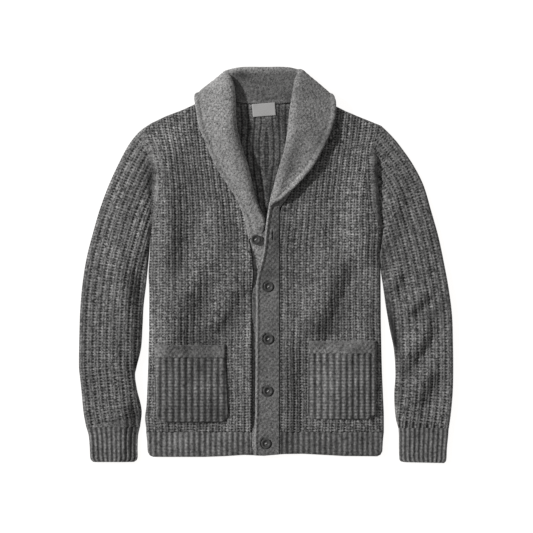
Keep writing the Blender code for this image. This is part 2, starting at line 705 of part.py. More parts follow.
def pocket_layer(name, pocket, side, low_y, high_y, material):
    """Part of a patch pocket between two heights, lying on the front."""
    rows = [low_y, high_y]
    if low_y == pocket.foot_y:
        rows = [low_y + pocket.corner * (1 - math.cos(math.radians(a))) for a in (0, 30, 60, 90)]
        rows += [high_y - (high_y - rows[-1]) * share for share in (0.67, 0.34)] + [high_y]
    rows = np.array(rows)
    share = (rows - pocket.foot_y) / (pocket.mouth_y - pocket.foot_y)
    inner = pocket.in_foot + (pocket.in_mouth - pocket.in_foot) * share
    outer = pocket.out_foot + (pocket.out_mouth - pocket.out_foot) * share
    rise = np.clip(pocket.corner - (rows - pocket.foot_y), 0.0, None)
    draw_in = pocket.corner - np.sqrt(pocket.corner**2 - rise**2)
    inner = inner + side * draw_in
    outer = outer - side * draw_in
    shares = np.concatenate([np.linspace(0.0, 0.9, 9), [0.94, 0.97, 1.0]])
    x = inner[:, None] + (outer - inner)[:, None] * shares[None, :]
    y = np.broadcast_to(rows[:, None], x.shape)
    under = front_surface(x, y) + LAYER_GAP
    return layer(name, laid(x, y, under + POCKET_CLOTH), laid(x, y, under), material)


def make_pocket(name, pocket, side, body_material, band_material):
    band_y = pocket.mouth_y - POCKET_MOUTH_DROP
    top_y, foot_y = band_y - SEAM_GAP / 2, band_y + SEAM_GAP / 2
    pocket_layer(f"pocket_{name}", pocket, side, pocket.foot_y, top_y, body_material)
    pocket_layer(f"pocket_band_{name}", pocket, side, foot_y, pocket.mouth_y, band_material)


def make_label(material):
    bpy.ops.mesh.primitive_cube_add(size=1.0)
    label = bpy.context.object
    label.name = label.data.name = "neck_label"
    label.scale = (LABEL_SIZE[0] * MM, LABEL_SIZE[1] * MM, LABEL_THICKNESS * MM)
    label.rotation_euler = (0.0, 0.0, LABEL_TILT)
    label.location = (LABEL_CENTRE[0] * MM, LABEL_CENTRE[1] * MM, LABEL_Z * MM)
    label.data.materials.append(material)
    return label


def turned_button(material):
    """The button's mesh: a turned disc with a raised rim round a shallow well, two holes."""
    well = BUTTON_THICKNESS - BUTTON_WELL_DEPTH
    profile = [
        (0.0, 0.0),
        (BUTTON_RADIUS - 1.6, 0.0),
        (BUTTON_RADIUS, 1.4),
        (BUTTON_RADIUS, BUTTON_THICKNESS - 1.2),
        (BUTTON_RADIUS - 1.4, BUTTON_THICKNESS),
        (BUTTON_WELL_RADIUS + 0.9, BUTTON_THICKNESS),
        (BUTTON_WELL_RADIUS, well),
        (0.0, well),
    ]
    shaping = bmesh.new()
    vertices = [shaping.verts.new((r * MM, 0.0, z * MM)) for r, z in profile]
    edges = [shaping.edges.new(pair) for pair in zip(vertices[:-1], vertices[1:])]
    bmesh.ops.spin(shaping, geom=vertices + edges, axis=(0, 0, 1), cent=(0, 0, 0),
                   steps=20, angle=math.tau, use_merge=True)
    bmesh.ops.remove_doubles(shaping, verts=shaping.verts, dist=1e-6)
    bmesh.ops.recalc_face_normals(shaping, faces=shaping.faces)
    mesh = bpy.data.meshes.new("button")
    shaping.to_mesh(mesh)
    shaping.free()
    mesh.materials.append(material)
    return mesh


def make_button(name, mesh, place, under):
    button = bpy.data.objects.new(name, mesh.copy())
    bpy.context.scene.collection.objects.link(button)
    button.location = (place[0] * MM, place[1] * MM, (under + 0.4) * MM)
    for index, way in enumerate((-1, 1)):
        offset = way * BUTTON_HOLE_SPACING / 2
        bpy.ops.mesh.primitive_cylinder_add(
            vertices=10, radius=BUTTON_HOLE_RADIUS * MM, depth=4 * BUTTON_THICKNESS * MM,
            location=(
                button.location.x + offset * math.cos(BUTTON_HOLE_SLANT) * MM,
                button.location.y + offset * math.sin(BUTTON_HOLE_SLANT) * MM,
                button.location.z,
            ),
        )
        cutter = bpy.context.object
        cutter.name = f"{name}_hole_{index}"
        cutter.hide_render = True
        cutter.display_type = "WIRE"
        cut = button.modifiers.new(f"hole_{index}", "BOOLEAN")
        cut.operation = "DIFFERENCE"
        cut.object = cutter
    return button


fresh_scene()

rib_knit = finish("rib_knit", (0.085, 0.084, 0.083))
welt_knit = finish("welt_knit", (0.08, 0.079, 0.078))
moss_knit = finish("moss_knit", (0.14, 0.139, 0.137))
woven_tape = finish("woven_tape", (0.34, 0.34, 0.33), 0.7)
horn = finish("horn", (0.045, 0.044, 0.043), 0.4)

make_back(rib_knit)
make_front("front_right", -1, rib_knit)
make_front("front_left", 1, rib_knit)
make_hem("hem_back", 0, False, welt_knit)
make_hem("hem_front_right", -1, True, welt_knit)
make_hem("hem_front_left", 1, True, welt_knit)
make_sleeve("sleeve_right", RIGHT_SLEEVE, -1, rib_knit, True)
make_sleeve("sleeve_left", LEFT_SLEEVE, 1, rib_knit, True)
make_sleeve("cuff_right", RIGHT_CUFF, -1, welt_knit, False)
make_sleeve("cuff_left", LEFT_CUFF, 1, welt_knit, False)
make_button_band(moss_knit)
make_buttonhole_band(moss_knit)
make_collar(moss_knit)
make_pocket("right", RIGHT_POCKET, -1, rib_knit, moss_knit)
make_pocket("left", LEFT_POCKET, 1, rib_knit, moss_knit)
make_label(woven_tape)

button_mesh = turned_button(horn)
make_button("button_1", button_mesh, OPEN_BUTTON, FRONT_TOP)
for number, place in enumerate(CLOSED_BUTTONS, start=2):
    make_button(f"button_{number}", button_mesh, place, BAND_TOP)
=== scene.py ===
"""Shawl-collar cardigan in chunky rib knit, lying flat and buttoned on a pale table.

Lengths are millimetres until a mesh is made. The garment lies on z = 0 with its front up,
+X is the wearer's left and +Y points to the collar.
"""

import math
from collections import namedtuple

import bpy
import numpy as np
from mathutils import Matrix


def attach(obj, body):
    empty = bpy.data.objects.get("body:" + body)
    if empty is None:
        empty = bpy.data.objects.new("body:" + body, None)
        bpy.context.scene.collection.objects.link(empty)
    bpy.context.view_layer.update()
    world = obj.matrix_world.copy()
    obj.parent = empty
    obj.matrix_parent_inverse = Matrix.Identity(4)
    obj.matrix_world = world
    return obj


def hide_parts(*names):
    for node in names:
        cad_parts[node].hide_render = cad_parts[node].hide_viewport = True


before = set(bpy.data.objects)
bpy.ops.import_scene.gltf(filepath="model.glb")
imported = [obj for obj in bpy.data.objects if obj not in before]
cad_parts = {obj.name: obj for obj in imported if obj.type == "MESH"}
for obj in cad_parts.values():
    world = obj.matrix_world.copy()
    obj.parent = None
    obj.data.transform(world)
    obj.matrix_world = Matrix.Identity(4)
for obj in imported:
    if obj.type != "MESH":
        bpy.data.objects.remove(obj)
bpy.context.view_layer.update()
bpy.ops.object.select_all(action="DESELECT")

# ---------------------------------------------------------------------------------------
# Table, light and camera: the cardigan is spread on a plain pale table and seen from
# straight above, with one lamp low on its right side (the left of the view) and a soft
# pale room all round.
MM = 0.001
TABLE_SIDE = 14000.0
VIEW_SIDE = 1066.0
VIEW_MIDDLE = (1.0, -5.0)
LENS, SENSOR = 200.0, 36.0
LAMP_TURN, LAMP_HEIGHT = math.radians(20), math.radians(33)
LAMP_POWER, LAMP_SPREAD = 4.8, math.radians(4)
ROOM_LIGHT = 0.33
TABLE_TONE, TABLE_GLOW = 0.12, 0.95
TABLE_Z = -0.3
SIGHT_OVER_TABLE = 12.0


class Wire:
    """A value between the nodes of a finish; arithmetic on it adds Math nodes."""

    def __init__(self, finish, socket):
        self.finish, self.socket = finish, socket

    def math(self, operation, *others):
        inputs = dict(enumerate((self, *others)))
        return self.finish.node("ShaderNodeMath", {"operation": operation}, inputs)

    def part(self, name):
        return Wire(self.finish, self.socket.node.outputs[name])

    def __add__(self, other):
        return self.math("ADD", other)

    def __sub__(self, other):
        return self.math("SUBTRACT", other)

    def __rsub__(self, other):
        return (self * -1.0) + other

    def __mul__(self, other):
        return self.math("MULTIPLY", other)

    def __pow__(self, other):
        return self.math("POWER", other)

    __radd__, __rmul__ = __add__, __mul__

    def wave(self):
        """1 at whole numbers, 0 half-way between them."""
        return (self * math.tau).math("COSINE") * 0.5 + 0.5

    def clamp(self):
        return self.math("MAXIMUM", 0.0).math("MINIMUM", 1.0)


class Finish:
    """A material and the nodes that make it."""

    def __init__(self, name, roughness=0.9, sheen=0.0):
        self.material = bpy.data.materials.new(name)
        self.material.use_nodes = True
        self.tree = self.material.node_tree
        self.shader = self.tree.nodes["Principled BSDF"]
        self.shader.inputs["Roughness"].default_value = roughness
        self.shader.inputs["Sheen Weight"].default_value = sheen
        self.shader.inputs["Specular IOR Level"].default_value = 0.25

    def node(self, kind, settings=None, inputs=None, output=0):
        made = self.tree.nodes.new(kind)
        for key, value in (settings or {}).items():
            setattr(made, key, value)
        for key, value in (inputs or {}).items():
            self.plug(made.inputs[key], value)
        return Wire(self, made.outputs[output])

    def plug(self, socket, value):
        if isinstance(value, Wire):
            self.tree.links.new(value.socket, socket)
        else:
            socket.default_value = value

    def place(self):
        return self.node("ShaderNodeTexCoord", output="Object")

    def noise(self, scale, detail=2.0):
        """Soft noise about 0.5, with that many lumps to the metre."""
        inputs = {"Vector": self.place(), "Scale": scale, "Detail": detail}
        return self.node("ShaderNodeTexNoise", {}, inputs, "Fac")

    def mix(self, share, first, second):
        inputs = {0: share, 6: first, 7: second}
        return self.node("ShaderNodeMix", {"data_type": "RGBA"}, inputs, 2)

    def colour(self, value):
        self.plug(self.shader.inputs["Base Color"], value)

    def bump(self, height, depth, strength):
        inputs = {"Height": height, "Distance": depth * MM, "Strength": strength}
        bumpy = self.node("ShaderNodeBump", {}, inputs, "Normal")
        self.plug(self.shader.inputs["Normal"], bumpy)


def grey(tone):
    """A neutral yarn colour, a breath warmer than pure grey."""
    return (tone * 1.01, tone, tone * 0.99, 1.0)


bpy.ops.mesh.primitive_plane_add(size=TABLE_SIDE * MM, location=(0.0, 0.0, TABLE_Z * MM))
table = bpy.context.object
table.name = "table"
table_finish = Finish("pale_table", 0.8)
table_tone = table_finish.noise(6.0) * 0.01 + TABLE_TONE
table_finish.colour(table_finish.mix(table_tone, grey(0.0), grey(1.0)))
table_finish.shader.inputs["Emission Color"].default_value = grey(1.0)
table_finish.shader.inputs["Emission Strength"].default_value = TABLE_GLOW
table.data.materials.append(table_finish.material)

bpy.ops.object.light_add(type="SUN", location=(0.0, 0.0, 3.0))
lamp = bpy.context.object
lamp.data.energy = LAMP_POWER
lamp.data.angle = LAMP_SPREAD
lamp.rotation_euler = (0.0, LAMP_HEIGHT - math.pi / 2, -LAMP_TURN)

room = bpy.data.worlds.new("room")
room.use_nodes = True
room.node_tree.nodes["Background"].inputs["Color"].default_value = grey(1.0)
room.node_tree.nodes["Background"].inputs["Strength"].default_value = ROOM_LIGHT
bpy.context.scene.world = room
bpy.context.scene.view_settings.view_transform = "Standard"

eye = bpy.data.cameras.new("eye")
eye.lens, eye.sensor_width = LENS, SENSOR
eye.clip_end = 100.0
camera = bpy.data.objects.new("eye", eye)
eye_height = (VIEW_SIDE * LENS / SENSOR + SIGHT_OVER_TABLE) * MM
camera.location = (VIEW_MIDDLE[0] * MM, VIEW_MIDDLE[1] * MM, eye_height)
bpy.context.scene.collection.objects.link(camera)
bpy.context.scene.camera = camera

# ---------------------------------------------------------------------------------------
# Back panel: one panel of thick fisherman rib under the fronts. Its inside shows between
# the lapels; its outside lies on the table. It is knitted to shape and linked to the
# fronts along the shoulders and down the sides, where the cloth folds over.
BODY_CLOTH = 5.0
SEAM_GAP = 0.1
FOLD_RADIUS, RIM = 6.5, 0.4
BACK_TOP = BODY_CLOTH
HEM_SEAM_Y, HEM_Y = -336.0, -384.0

# The fall of the collar lies folded under the neck and lifts the cloth on it
COLLAR_LIFT, LIFT_FULL_Y, LIFT_FULL_X = 6.4, 296.0, 150.0
FRONT_LIFT_RUN, BACK_LIFT_RUN = 46.0, 30.0
NECK_POINT, SHOULDER_TIP, UNDERARM = (95.0, 341.0), (232.0, 279.0), (231.0, 70.0)
BACK_NECK_Y = 319.0

Edge = namedtuple("Edge", "y x")


def table_of(kind, *rows):
    return [kind(*row) for row in rows]


SIDE_EDGE = table_of(Edge,
    (-336, 240.0), (-300, 240.0), (-210, 236.0), (-120, 234.0), (-20, 233.5), (70, 231.0),
)
HEM_EDGE = table_of(Edge,
    (-384, 226.0), (-381, 233.0), (-374, 237.0), (-355, 238.0), (-336, 240.0),
)
ARMHOLE = table_of(Edge,
    (70, 231.0), (94, 219.0), (117, 209.0), (140, 198.0), (174, 199.5), (212, 201.0), (236, 210.0),
    (256, 222.0), (279, 232.0),
)

# Where the ribs run: x of the valley beside the eighth rib, and the pitch, up the body
Ribs = namedtuple("Ribs", "y middle pitch")
BODY_RIBS = table_of(Ribs,
    (-384, 130.2, 12.6), (30, 130.2, 12.6), (118, 132.6, 11.9), (198, 140.4, 11.6),
    (238, 145.0, 11.7), (278, 150.2, 12.8), (341, 157.0, 13.2),
)
LEFT_RIBS_OUT = 2.2
BODY_ROW = 5.6
RIB_DEPTH = 2.4

# How far the shoulders and the hem were pushed up or down as the cardigan was laid out,
# and how far the left flank was drawn in
SHOULDER_SHIFT = (
    [-262, -232, -200, -165, 95, 140, 160, 200, 232, 262],
    [0.0, 2.2, 3.0, 0.0, 0.0, -5.0, -6.0, -3.8, -2.2, 0.0],
)
HEM_SHIFT = (
    [-230, -204, -124, -84, -44, -4, 36, 76, 116, 156, 230],
    [-2.0, -2.2, -2.2, -0.8, 1.8, 0.4, 3.8, 4.0, 1.8, -0.4, -1.0],
)
FLANK_DRAWN_IN = 4.0

# Where the right flank bulges: y of the middle, run and how far out
RIGHT_FLANK_OUT = [(-14, 26, 1.8), (-308, 16, 2.2)]


def ease(t):
    """0 up to 0 and 1 from 1, with a soft climb between them."""
    t = np.clip(t, 0.0, 1.0)
    return t * t * (3.0 - 2.0 * t)


def fade(value, start, end):
    """The same climb, from 0 at start to 1 at end."""
    return ease((value - start) / (end - start))


def hump(value, width, middle=0.0):
    """A soft hump of height 1."""
    return np.exp(-(((value - middle) / width) ** 2))


def wave(number):
    """1 at whole numbers, 0 half-way between them."""
    return 0.5 + 0.5 * np.cos(math.tau * number)


def between(rows, y, key, soft=0.0):
    """A column of a table read at y, with its corners rounded over the given length."""
    steps, values = [row.y for row in rows], [getattr(row, key) for row in rows]
    if not soft:
        return np.interp(y, steps, values)
    shifts = np.linspace(-soft, soft, 5)
    return sum(np.interp(np.asarray(y) + shift, steps, values) for shift in shifts) / 5


def to_line(points, line):
    """Distance of each point from a line of straight stretches, and the length along it."""
    points = np.asarray(points, float)
    best = np.full(points.shape[:-1], np.inf)
    reached = np.zeros(points.shape[:-1])
    passed = 0.0
    for a, b in zip(line[:-1], line[1:]):
        a, b = np.asarray(a, float), np.asarray(b, float)
        length = np.linalg.norm(b - a)
        share = np.clip(((points - a) @ (b - a)) / length**2, 0.0, 1.0)
        away = np.linalg.norm(points - a - share[..., None] * (b - a), axis=-1)
        nearer = away < best
        best = np.where(nearer, away, best)
        reached = np.where(nearer, passed + share * length, reached)
        passed += length
    return best, reached


def lift(x, y, run=FRONT_LIFT_RUN):
    """Rise of the body over the folded fall of the collar."""
    along = ease(1.0 + (y - LIFT_FULL_Y) / run)
    across = ease(1.0 + (LIFT_FULL_X - np.abs(x)) / run)
    return COLLAR_LIFT * along * across


def rounding(distance, radius=FOLD_RADIUS):
    """0 at a folded edge, 1 where the cloth lies flat."""
    t = np.clip(distance / radius, 0.0, 1.0)
    return np.sqrt(1.0 - (1.0 - t) ** 2)


def folded_edges(side):
    """The side seam and the shoulder, where front and back meet in a fold."""
    flank = [(side * row.x, row.y) for row in HEM_EDGE if row.y > HEM_Y]
    flank += [(side * row.x, row.y) for row in SIDE_EDGE]
    shoulder = [(side * NECK_POINT[0], NECK_POINT[1]), (side * SHOULDER_TIP[0], SHOULDER_TIP[1])]
    return flank, shoulder


def rib_place(x, y):
    """Rib and row number of a place on the body; a whole rib number is a valley."""
    from_middle = np.where(x > 0, x - LEFT_RIBS_OUT, -x)
    rib = (from_middle - between(BODY_RIBS, y, "middle", 24)) / between(BODY_RIBS, y, "pitch", 24)
    rib = rib + 0.05 * np.sin(y / 31.0 + x / 47.0) + 0.03 * np.sin(y / 11.0 - x / 29.0)
    row = y / BODY_ROW + 0.12 * np.sin(x / 37.0) + 0.1 * np.sin(y / 53.0)
    valley = np.round(rib)
    row = row + 0.12 * np.sin(7.3 * valley) + 0.10 * np.sin(y / 43.0 + 3.1 * valley)
    return rib, row


def rib_height(rib, row, depth=RIB_DEPTH, legs=1.0):
    """Height of fisherman rib below its crests: valleys with a pit in each row, and two
    legs of knit stitches on each rib with a shallow groove between them."""
    valley, rung = wave(rib), wave(row)
    lean = wave(row + 0.5 + 0.35 * np.cos(math.tau * rib))
    groove = hump(rib % 1.0, 0.09, 0.5)
    return -depth * valley**2.4 * (0.5 + 0.5 * rung) - legs * (
        1.2 * groove * (0.4 + 0.6 * rung) + 0.3 * (1 - valley) * lean
    )


def grid(x, y, z):
    """Three values at each place, side by side."""
    return np.stack(np.broadcast_arrays(x, y, z), axis=-1).astype(float)


def laid(x, y, z, drawn_in=FLANK_DRAWN_IN):
    """Points of the cardigan where they lie, its two halves not quite alike."""
    slip = np.interp(x, *SHOULDER_SHIFT) * fade(y, 150, 260)
    slip = slip + np.interp(x, *HEM_SHIFT) * fade(y, -340, -384)
    draw = drawn_in * fade(x, 150, 225) * fade(y, 70, 10)
    for middle, run, out in RIGHT_FLANK_OUT if drawn_in else ():
        draw = draw + out * hump(y, run, middle) * fade(x, -190, -230)
    return grid(x - draw, y + slip, z)


def knit_of(rib, row, shade=0.0):
    """What a mesh carries for its finish: the stitch at each point and its painted shade."""
    return grid(rib, row, shade)


Spot = namedtuple("Spot", "x y along across turn shade")


def painted_shade_spots(table, x, y):
    """Soft spots of painted shade, or painted light where the shade is negative, each given by its
    middle, half length, half width and turn in degrees."""
    shade = np.zeros(np.shape(x))
    for spot in table:
        turn = math.radians(spot.turn)
        away_x, away_y = x - spot.x, y - spot.y
        along = (away_x * math.cos(turn) + away_y * math.sin(turn)) / spot.along
        across = (away_y * math.cos(turn) - away_x * math.sin(turn)) / spot.across
        shade = shade + spot.shade * np.exp(-(along**2) - across**2)
    return shade


def knit_mesh(name, points, knit, squares, strips, finish):
    """A mesh of squares and many-sided strips that carries its stitch numbers."""
    loops = np.concatenate([squares.reshape(-1), *[np.asarray(strip) for strip in strips]])
    sides = np.concatenate([np.full(len(squares), 4), [len(strip) for strip in strips]])
    starts = np.concatenate([[0], np.cumsum(sides)[:-1]])
    mesh = bpy.data.meshes.new(name)
    mesh.vertices.add(len(points))
    mesh.vertices.foreach_set("co", (points * MM).astype(np.float32).ravel())
    mesh.loops.add(len(loops))
    mesh.loops.foreach_set("vertex_index", loops.astype(np.int32))
    mesh.polygons.add(len(starts))
    mesh.polygons.foreach_set("loop_start", starts.astype(np.int32))
    mesh.update(calc_edges=True)
    stitches = mesh.attributes.new("knit", "FLOAT_VECTOR", "POINT")
    stitches.data.foreach_set("vector", knit.astype(np.float32).ravel())
    mesh.shade_smooth()
    mesh.materials.append(finish.material)
    piece = bpy.data.objects.new(name, mesh)
    bpy.context.scene.collection.objects.link(piece)
    return piece


def squares_of(numbers, flip=False):
    """Four-sided faces between the rows and columns of a grid of point numbers."""
    near, far = numbers[:-1], numbers[1:]
    found = np.stack([near[:, :-1], near[:, 1:], far[:, 1:], far[:, :-1]], axis=-1)
    found = found.reshape(-1, 4)
    return found[:, ::-1] if flip else found


def strips_between(fine, coarse, flip):
    """Faces that join a fine row of points to a coarse one."""
    step = (len(fine) - 1) // (len(coarse) - 1)
    found = []
    for index in range(len(coarse) - 1):
        run = list(fine[index * step : (index + 1) * step + 1])
        face = run + [coarse[index + 1], coarse[index]]
        found.append(face[::-1] if flip else face)
    return found


def panel(name, upper, lower, knit, finish, turned=False, thin=4, knit_lower=None):
    """A closed wall of cloth. Both faces have the same rows, and the lower one, which is
    out of sight, keeps one column in every few."""
    lower = lower[:, ::thin]
    knit_lower = knit[:, ::thin] if knit_lower is None else knit_lower
    rows, fine = upper.shape[:2]
    coarse = lower.shape[1]
    points = np.concatenate([upper.reshape(-1, 3), lower.reshape(-1, 3)])
    knit = np.concatenate([knit.reshape(-1, 3), knit_lower.reshape(-1, 3)])
    top = np.arange(rows * fine).reshape(rows, fine)
    under = rows * fine + np.arange(rows * coarse).reshape(rows, coarse)
    squares = [squares_of(top, turned), squares_of(under, not turned)]
    squares.append(squares_of(np.stack([under[:, 0], top[:, 0]], axis=1), turned))
    squares.append(squares_of(np.stack([top[:, -1], under[:, -1]], axis=1), turned))
    strips = strips_between(top[0], under[0], not turned)
    strips += strips_between(top[-1], under[-1], turned)
    return knit_mesh(name, points, knit, np.concatenate(squares), strips, finish)


def wool(name, sheen=0.12):
    """A woollen finish, with the rib, the row and the painted shade that its stitches carry."""
    made = Finish(name, 0.92, sheen)
    stitches = made.node("ShaderNodeAttribute", {"attribute_name": "knit"}, output="Vector")
    parts = made.node("ShaderNodeSeparateXYZ", {}, {0: stitches}, "X")
    return made, parts, parts.part("Y"), parts.part("Z")


def dye(made, light, darkest, flecks):
    """Colours a wool by its light, from dark grey to pale, and covers it with fuzz."""
    made.colour(made.mix((light * 2.5).clamp(), grey(darkest), grey(0.40)))
    made.bump(made.noise(900.0, 2.0) + flecks * 2.0, 0.5, 0.6)


def rib_finish(name, tone, pits, hole_shade, row_shade):
    """Marled wool in fisherman rib: painted shade in pits down the valleys and in a row of small
    holes down the middle of each rib, faint painted shade along the rows, and a lighter or darker
    yarn from stitch to stitch."""
    made, rib, row, shade = wool(name, 0.08)
    halves = {0: (rib * 2.0).math("FLOOR"), 1: (row + 0.5).math("ROUND"), 2: 0.0}
    leg = made.node("ShaderNodeCombineXYZ", {}, halves, "Vector")
    yarn = made.node("ShaderNodeTexWhiteNoise", {}, {"Vector": leg}, "Value") - 0.5
    rib = rib + (made.noise(150.0, 1.0) - 0.5) * 0.16
    row = row + (made.noise(120.0, 1.0) - 0.5) * 0.35
    rung = row.wave()
    # Painted shade: the valleys and the holes are darkened as if in shadow
    valley = rib.wave() ** 3.0 * (rung * pits + (1.0 - pits))
    hole = (rib + 0.5).wave() ** 8.0 * (rung * 0.8 + 0.2)
    marl = made.noise(310.0, 2.0) - 0.5
    flecks = made.noise(640.0, 1.0) - 0.5
    cloudy = made.noise(16.0, 2.0) - 0.5
    light = (1.0 - valley) * (1.0 - hole * hole_shade) * (1.0 - rung * row_shade)
    light = light * (yarn * 0.6 + marl * 3.4 + flecks * 1.6 + cloudy * 0.4 + 1.0)
    light = light.math("MAXIMUM", 0.02) ** 1.25 * (1.0 - shade)
    dye(made, light * tone, 0.008, flecks)
    return made


RIB_TONE = 0.123
inside_knit = rib_finish("inside_knit", RIB_TONE, pits=0.4, hole_shade=0.4, row_shade=0.04)


def armhole_line(count):
    """The armhole seam of the +X half, from the underarm up to the shoulder tip."""
    y = np.linspace(UNDERARM[1], SHOULDER_TIP[1], 120)
    x = between(ARMHOLE, y, "x", 9)
    lengths = np.concatenate([[0.0], np.cumsum(np.hypot(np.diff(x), np.diff(y)))])
    stops = np.linspace(0.0, lengths[-1], count)
    return np.stack([np.interp(stops, lengths, x), np.interp(stops, lengths, y)], axis=-1)


def back_neck_y(x):
    """The neck seam of the back, a wide shallow curve between the neck points."""
    share = np.clip(np.abs(x) / NECK_POINT[0], 0.0, 1.0)
    return BACK_NECK_Y + (NECK_POINT[1] - 2.6 - BACK_NECK_Y) * share**3.8


def back_plan(low_rows, arm_rows, columns):
    """Places across and up the back, from side to side and up to the neck and shoulders."""
    low = np.linspace(HEM_SEAM_Y + SEAM_GAP / 2, UNDERARM[1], low_rows + 1)[:-1]
    share = np.linspace(-1.0, 1.0, columns)
    share = np.sign(share) * (1.0 - (1.0 - np.abs(share)) ** 1.15)
    plan = [grid(share * between(SIDE_EDGE, y, "x"), y, 0.0)[:, :2] for y in low]
    slope = (NECK_POINT[1] - SHOULDER_TIP[1]) / (SHOULDER_TIP[0] - NECK_POINT[0])
    top_x = share * SHOULDER_TIP[0]
    shoulder_y = SHOULDER_TIP[1] + (SHOULDER_TIP[0] - np.abs(top_x)) * slope
    top_y = np.where(np.abs(top_x) > NECK_POINT[0], shoulder_y, back_neck_y(top_x) - SEAM_GAP)
    for arm_x, arm_y in armhole_line(arm_rows):
        climb = (arm_y - UNDERARM[1]) / (SHOULDER_TIP[1] - UNDERARM[1])
        y = UNDERARM[1] + (top_y - UNDERARM[1]) * climb
        plan.append(np.stack([share * (arm_x - SEAM_GAP / 2), y], axis=-1))
    return np.array(plan)


# Spots of painted shade on the inside of the back, between the lapels
INSIDE_PAINTED_SHADE = table_of(Spot,
    (-24, 246, 44, 10, 102, 0.56), (6, 156, 32, 13, 75, 0.46), (34, 290, 46, 15, 80, 0.26),
)

plan = back_plan(low_rows=110, arm_rows=64, columns=173)
x, y = plan[..., 0], plan[..., 1]
shape = np.ones(x.shape)
for side in (-1, 1):
    for line in folded_edges(side):
        shape = shape * rounding(to_line(plan, line)[0])
rise = BACK_TOP + lift(x, y, BACK_LIFT_RUN)
rib, row = rib_place(x, y)
relief = rib_height(rib, row, 1.6, 0.5)
under = rise - RIM - (BACK_TOP - RIM) * shape
reach = np.interp(y, [70, 120, 200, 300], [8, 30, 62, 84])
puffed = ease((reach - np.abs(x)) / 12.0) * fade(y, 84, 124) * fade(y, 292, 256)
rise = rise + (1.2 + 3.4 * fade(x, 24, -40)) * puffed
height = np.maximum(rise + 0.7 * relief, under + 0.25)
inside = laid(x, y, height)
outside = laid(x, y, np.minimum(under - relief * shape * 0.6, height - 0.2))
# Painted shade on the inside of the back: little on the left, inside the right lapel's cast
# shadow, more towards the right where the lamp falls, and the spots above
inside_painted_shade = 0.02 + 0.24 * fade(x, -42, 24) + painted_shade_spots(INSIDE_PAINTED_SHADE, x, y)
back = panel("back_panel", inside, outside, knit_of(rib, row, inside_painted_shade), inside_knit,
             thin=1, knit_lower=knit_of(rib, row))
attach(back, "root")
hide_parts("back")

# ---------------------------------------------------------------------------------------
# Fronts: one panel each in the same rib, with a sloping neck edge for the collar. They lie
# on the back and are pushed into soft folds; the left one climbs beside its band.
body_knit = rib_finish("rib_knit", RIB_TONE, pits=1.0, hole_shade=0.8, row_shade=0.1)
RIGHT_NECKLINE = table_of(Edge,
    (-400, 28.6), (-60, 28.6), (-20, 25.6), (10, 27.6), (40, 31.0), (66, 34.5), (104, 41.0),
    (138, 51.0), (198, 69.0), (250, 84.0), (316, 92.5), (341, 95.0),
)
LEFT_NECKLINE = table_of(Edge,
    (-400, 28.6), (104, 28.6), (118, 33.0), (138, 45.0), (160, 56.0), (198, 69.0), (250, 84.0),
    (316, 92.5), (341, 95.0),
)
BAND_CLOTH, LAYER_GAP = 4.5, 0.6
FRONT_UNDER = BACK_TOP + LAYER_GAP
FRONT_TOP = FRONT_UNDER + BODY_CLOTH
BAND_UNDER = FRONT_UNDER + BAND_CLOTH + LAYER_GAP
BAND_TOP = BAND_UNDER + BAND_CLOTH
BAND_RAMP = BAND_TOP - FRONT_TOP

# Soft folds, each along a line, with a ridge on its left and a trough on its right
# (left and right as the line runs), and dying out at its ends
Fold = namedtuple("Fold", "x1 y1 x2 y2 width height")
BODY_SWELL = 6.0
BODY_FOLDS = table_of(Fold,
    (-182, -222, -116, -4, 33, 10.6), (-112, -172, -34, -32, 25, 8.6),
    (-124, 10, -104, 156, 18, -3.4), (-182, -36, -176, 150, 22, 4.2), (-92, 30, -76, 240, 16, 1.2),
    (-58, -260, -52, -66, 16, -1.6), (-196, -300, -176, -170, 18, -2.6),
    (-136, -250, -126, -150, 18, -1.6), (-132, -190, -116, -120, 16, 2.4),
    (92, -200, 174, 16, 33, 10.2), (60, -360, 58, -110, 20, 3.2), (36, -70, 30, 90, 20, 2.4),
    (150, -206, 190, -178, 12, 2.4), (164, -20, 166, 200, 24, -3.0),
    (118, -320, 128, -170, 30, -5.4), (84, -60, 76, 66, 18, 1.8), (-76, -350, -62, -262, 18, -2.6),
)
